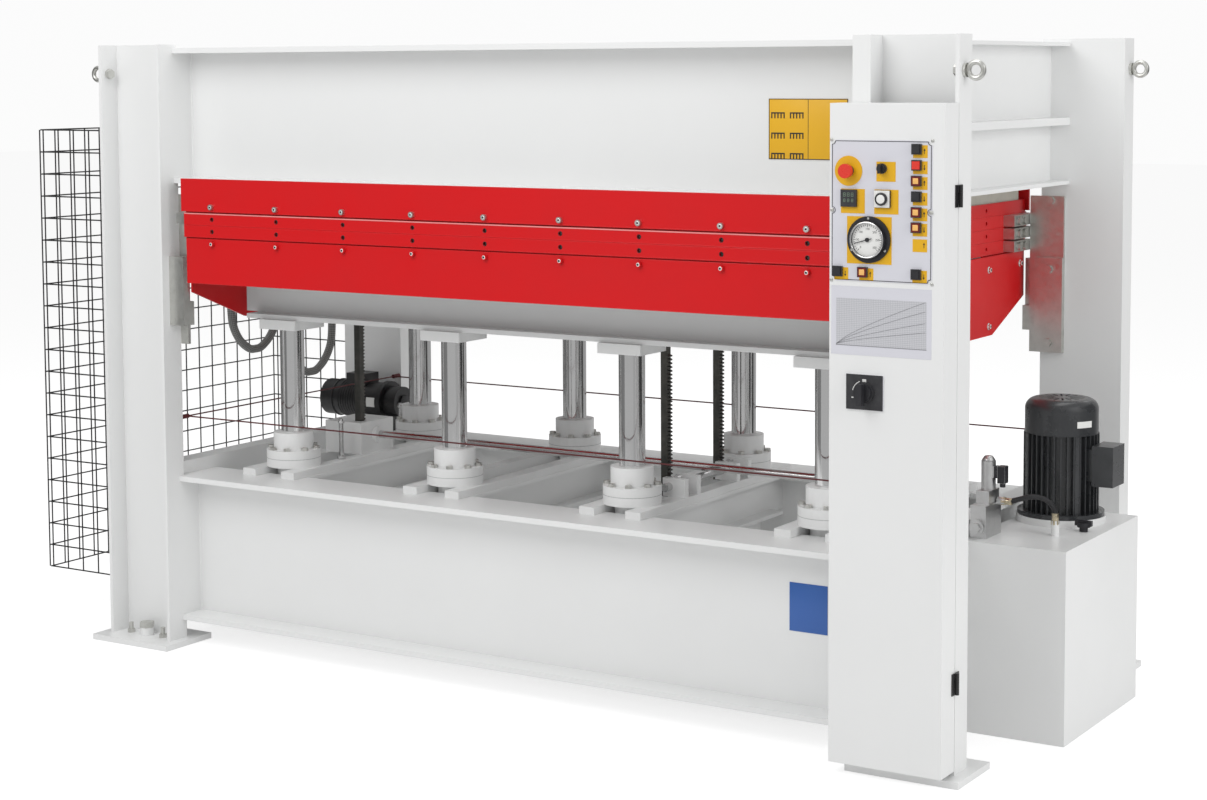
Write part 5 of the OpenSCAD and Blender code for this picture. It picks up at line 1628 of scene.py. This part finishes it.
    def gauge_face(self) -> None:
        """Adds the gauge's dial, its inner ring, its scale and its screws."""
        x, z = self.gauge
        floor = self.face - self.dial_lift
        dial = Shape().drum((x, floor - self.dial[1] / 2, z), *self.dial, Axis.Y, 64)
        dial.finish("gauge_dial", Finish.DIAL, "door", "panel_sheet")
        rim = Shape().ring((x, self.face - self.rim_y, z), *self.rim, Axis.Y, 64)
        rim.finish("gauge_rim", Finish.STEEL, "door", "zinc_steel")
        scale = Shape()
        start, sweep = self.scale_turn
        y = floor - self.scale_lift
        for i in range(self.scale_marks + 1):
            angle = math.radians(start - sweep * i / self.scale_marks)
            inner = self.scale_in[0] if i % 5 == 0 else self.scale_in[1]
            place = self.round_gauge((inner + self.scale_r) / 2, angle, y)
            scale.dash(place, (self.scale_r - inner, *self.scale_ink), angle)
            if i % 5 == 0:
                scale.words(str(i * 10), self.round_gauge(self.numeral_r, angle, y), self.numeral_h)
        scale.finish("gauge_scale", Finish.INK, "door", "panel_sheet")
        screws = Shape()
        for angle in (math.radians(a) for a in (90, 210, 330)):
            place = self.round_gauge(self.gauge_screw_r, angle, self.face - self.gauge_screw_y)
            screws.drum(place, *self.gauge_screw, Axis.Y, 16, EDGE)
        screws.finish("gauge_screws", Finish.ZINC, "door", "zinc_steel")

    def instruments(self) -> None:
        """Adds the faces of the timer and the controller."""
        face = Shape().block(*self.square(self.timer, self.timer_half, self.timer_y), FINE_EDGE)
        face.finish("timer_face", Finish.WHITE_PLASTIC, "door", "panel_sheet")
        x, z = self.timer
        ring = Shape().ring((x, self.face - self.timer_ring_y, z), *self.timer_ring, Axis.Y, 40)
        ring.finish("timer_ring", Finish.BLACK, "door", "black_parts")
        knob = Shape().drum((x, self.face - self.timer_knob_y, z), *self.timer_knob, Axis.Y, 32,
                            self.timer_knob_edge)
        knob.finish("timer_knob", Finish.WHITE_PLASTIC, "door", "panel_sheet")
        x, z = self.controller
        digits = Shape()
        for row, height in self.digit_rows:
            for k in (-1, 0, 1):
                self.seven_segments(digits, x + self.digit_pitch * k, z + row, height)
        digits.finish("controller_digits", Finish.DISPLAY, "door", "panel_sheet")

    def seven_segments(self, shape: Shape, x: float, z: float, height: float) -> None:
        """Adds one dim numeral made of bars.

        Args:
            shape: The mesh that takes it.
            x: Its centre.
            z: Its centre.
            height: Its height.
        """
        half, wide, thin = height / 2, height * self.digit_share, self.digit_half_line
        front = self.face - self.digit_y
        back = front + self.sheet_t
        for dz in (-half, 0.0, half):
            shape.block((x - wide, front, z + dz - thin), (x + wide, back, z + dz + thin))
        for dx in (-wide, wide):
            shape.block((x + dx - thin, front, z - half), (x + dx + thin, back, z + half))

    def chart(self) -> None:
        """Adds the printed grid under the panel and the plain curves on it."""
        back = self.door_face - self.chart_y
        (x0, x1), (z0, z1) = self.chart_x, self.chart_z
        sheet = Shape().block((x0, back - self.ink_t, z0), (x1, back, z1))
        sheet.finish("chart_print", Finish.CHART, "door", "panel_sheet")
        curves = Shape()
        y, steps, (step, tall) = back - self.sheet_t, self.chart_steps, self.chart_step
        for rise in self.chart_rises:
            spots = [(x0 + step * k, z0 + self.chart_lift + tall * rise * (k / steps) ** self.chart_power)
                     for k in range(steps + 1)]
            for (xa, za), (xb, zb) in zip(spots, spots[1:]):
                curves.dash(((xa + xb) / 2, y, (za + zb) / 2),
                            (math.hypot(xb - xa, zb - za), self.ink_t, self.chart_line),
                            math.atan2(zb - za, xb - xa))
        foot = (x1 - x0 + 2 * self.chart_past, self.ink_t, self.chart_foot)
        curves.dash(((x0 + x1) / 2, y, z0 - self.chart_past), foot, 0.0)
        curves.finish("chart_curves", Finish.PALE_INK, "door", "panel_sheet")

    def switch_marks(self) -> None:
        """Prints plain position marks round the main switch."""
        low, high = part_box("main_switch_handle")
        x, z = (low[0] + high[0]) / 2, (low[2] + high[2]) / 2
        y, ink = self.door_face - self.marks_y, self.ink_t / 2
        half, (low_z, high_z) = self.bar_half, self.bar_z
        marks = Shape().block((x - half, y - ink, z + low_z), (x + half, y + ink, z + high_z))
        marks.bow((x, y, z), self.arc_r, (self.arc_line, self.ink_t), *self.arc_turn, Axis.Y)
        (dx, dz), (wide, tall) = self.tick_at, self.tick
        marks.dash((x + dx, y, z + dz), (wide, self.ink_t, tall), 0.0)
        marks.finish("switch_marks", Finish.WHITE_PLASTIC, "door", "panel_sheet")


def main() -> None:
    """Builds every sub-assembly in order."""
    logging.basicConfig(level=logging.INFO, format="%(name)s: %(message)s")
    StudioCamera().build()
    Studio().build()
    PlatenStack().build()
    HydraulicUnit().build()
    PressFrame().build()
    ControlDoor().build()


if __name__ == "__main__":
    main()
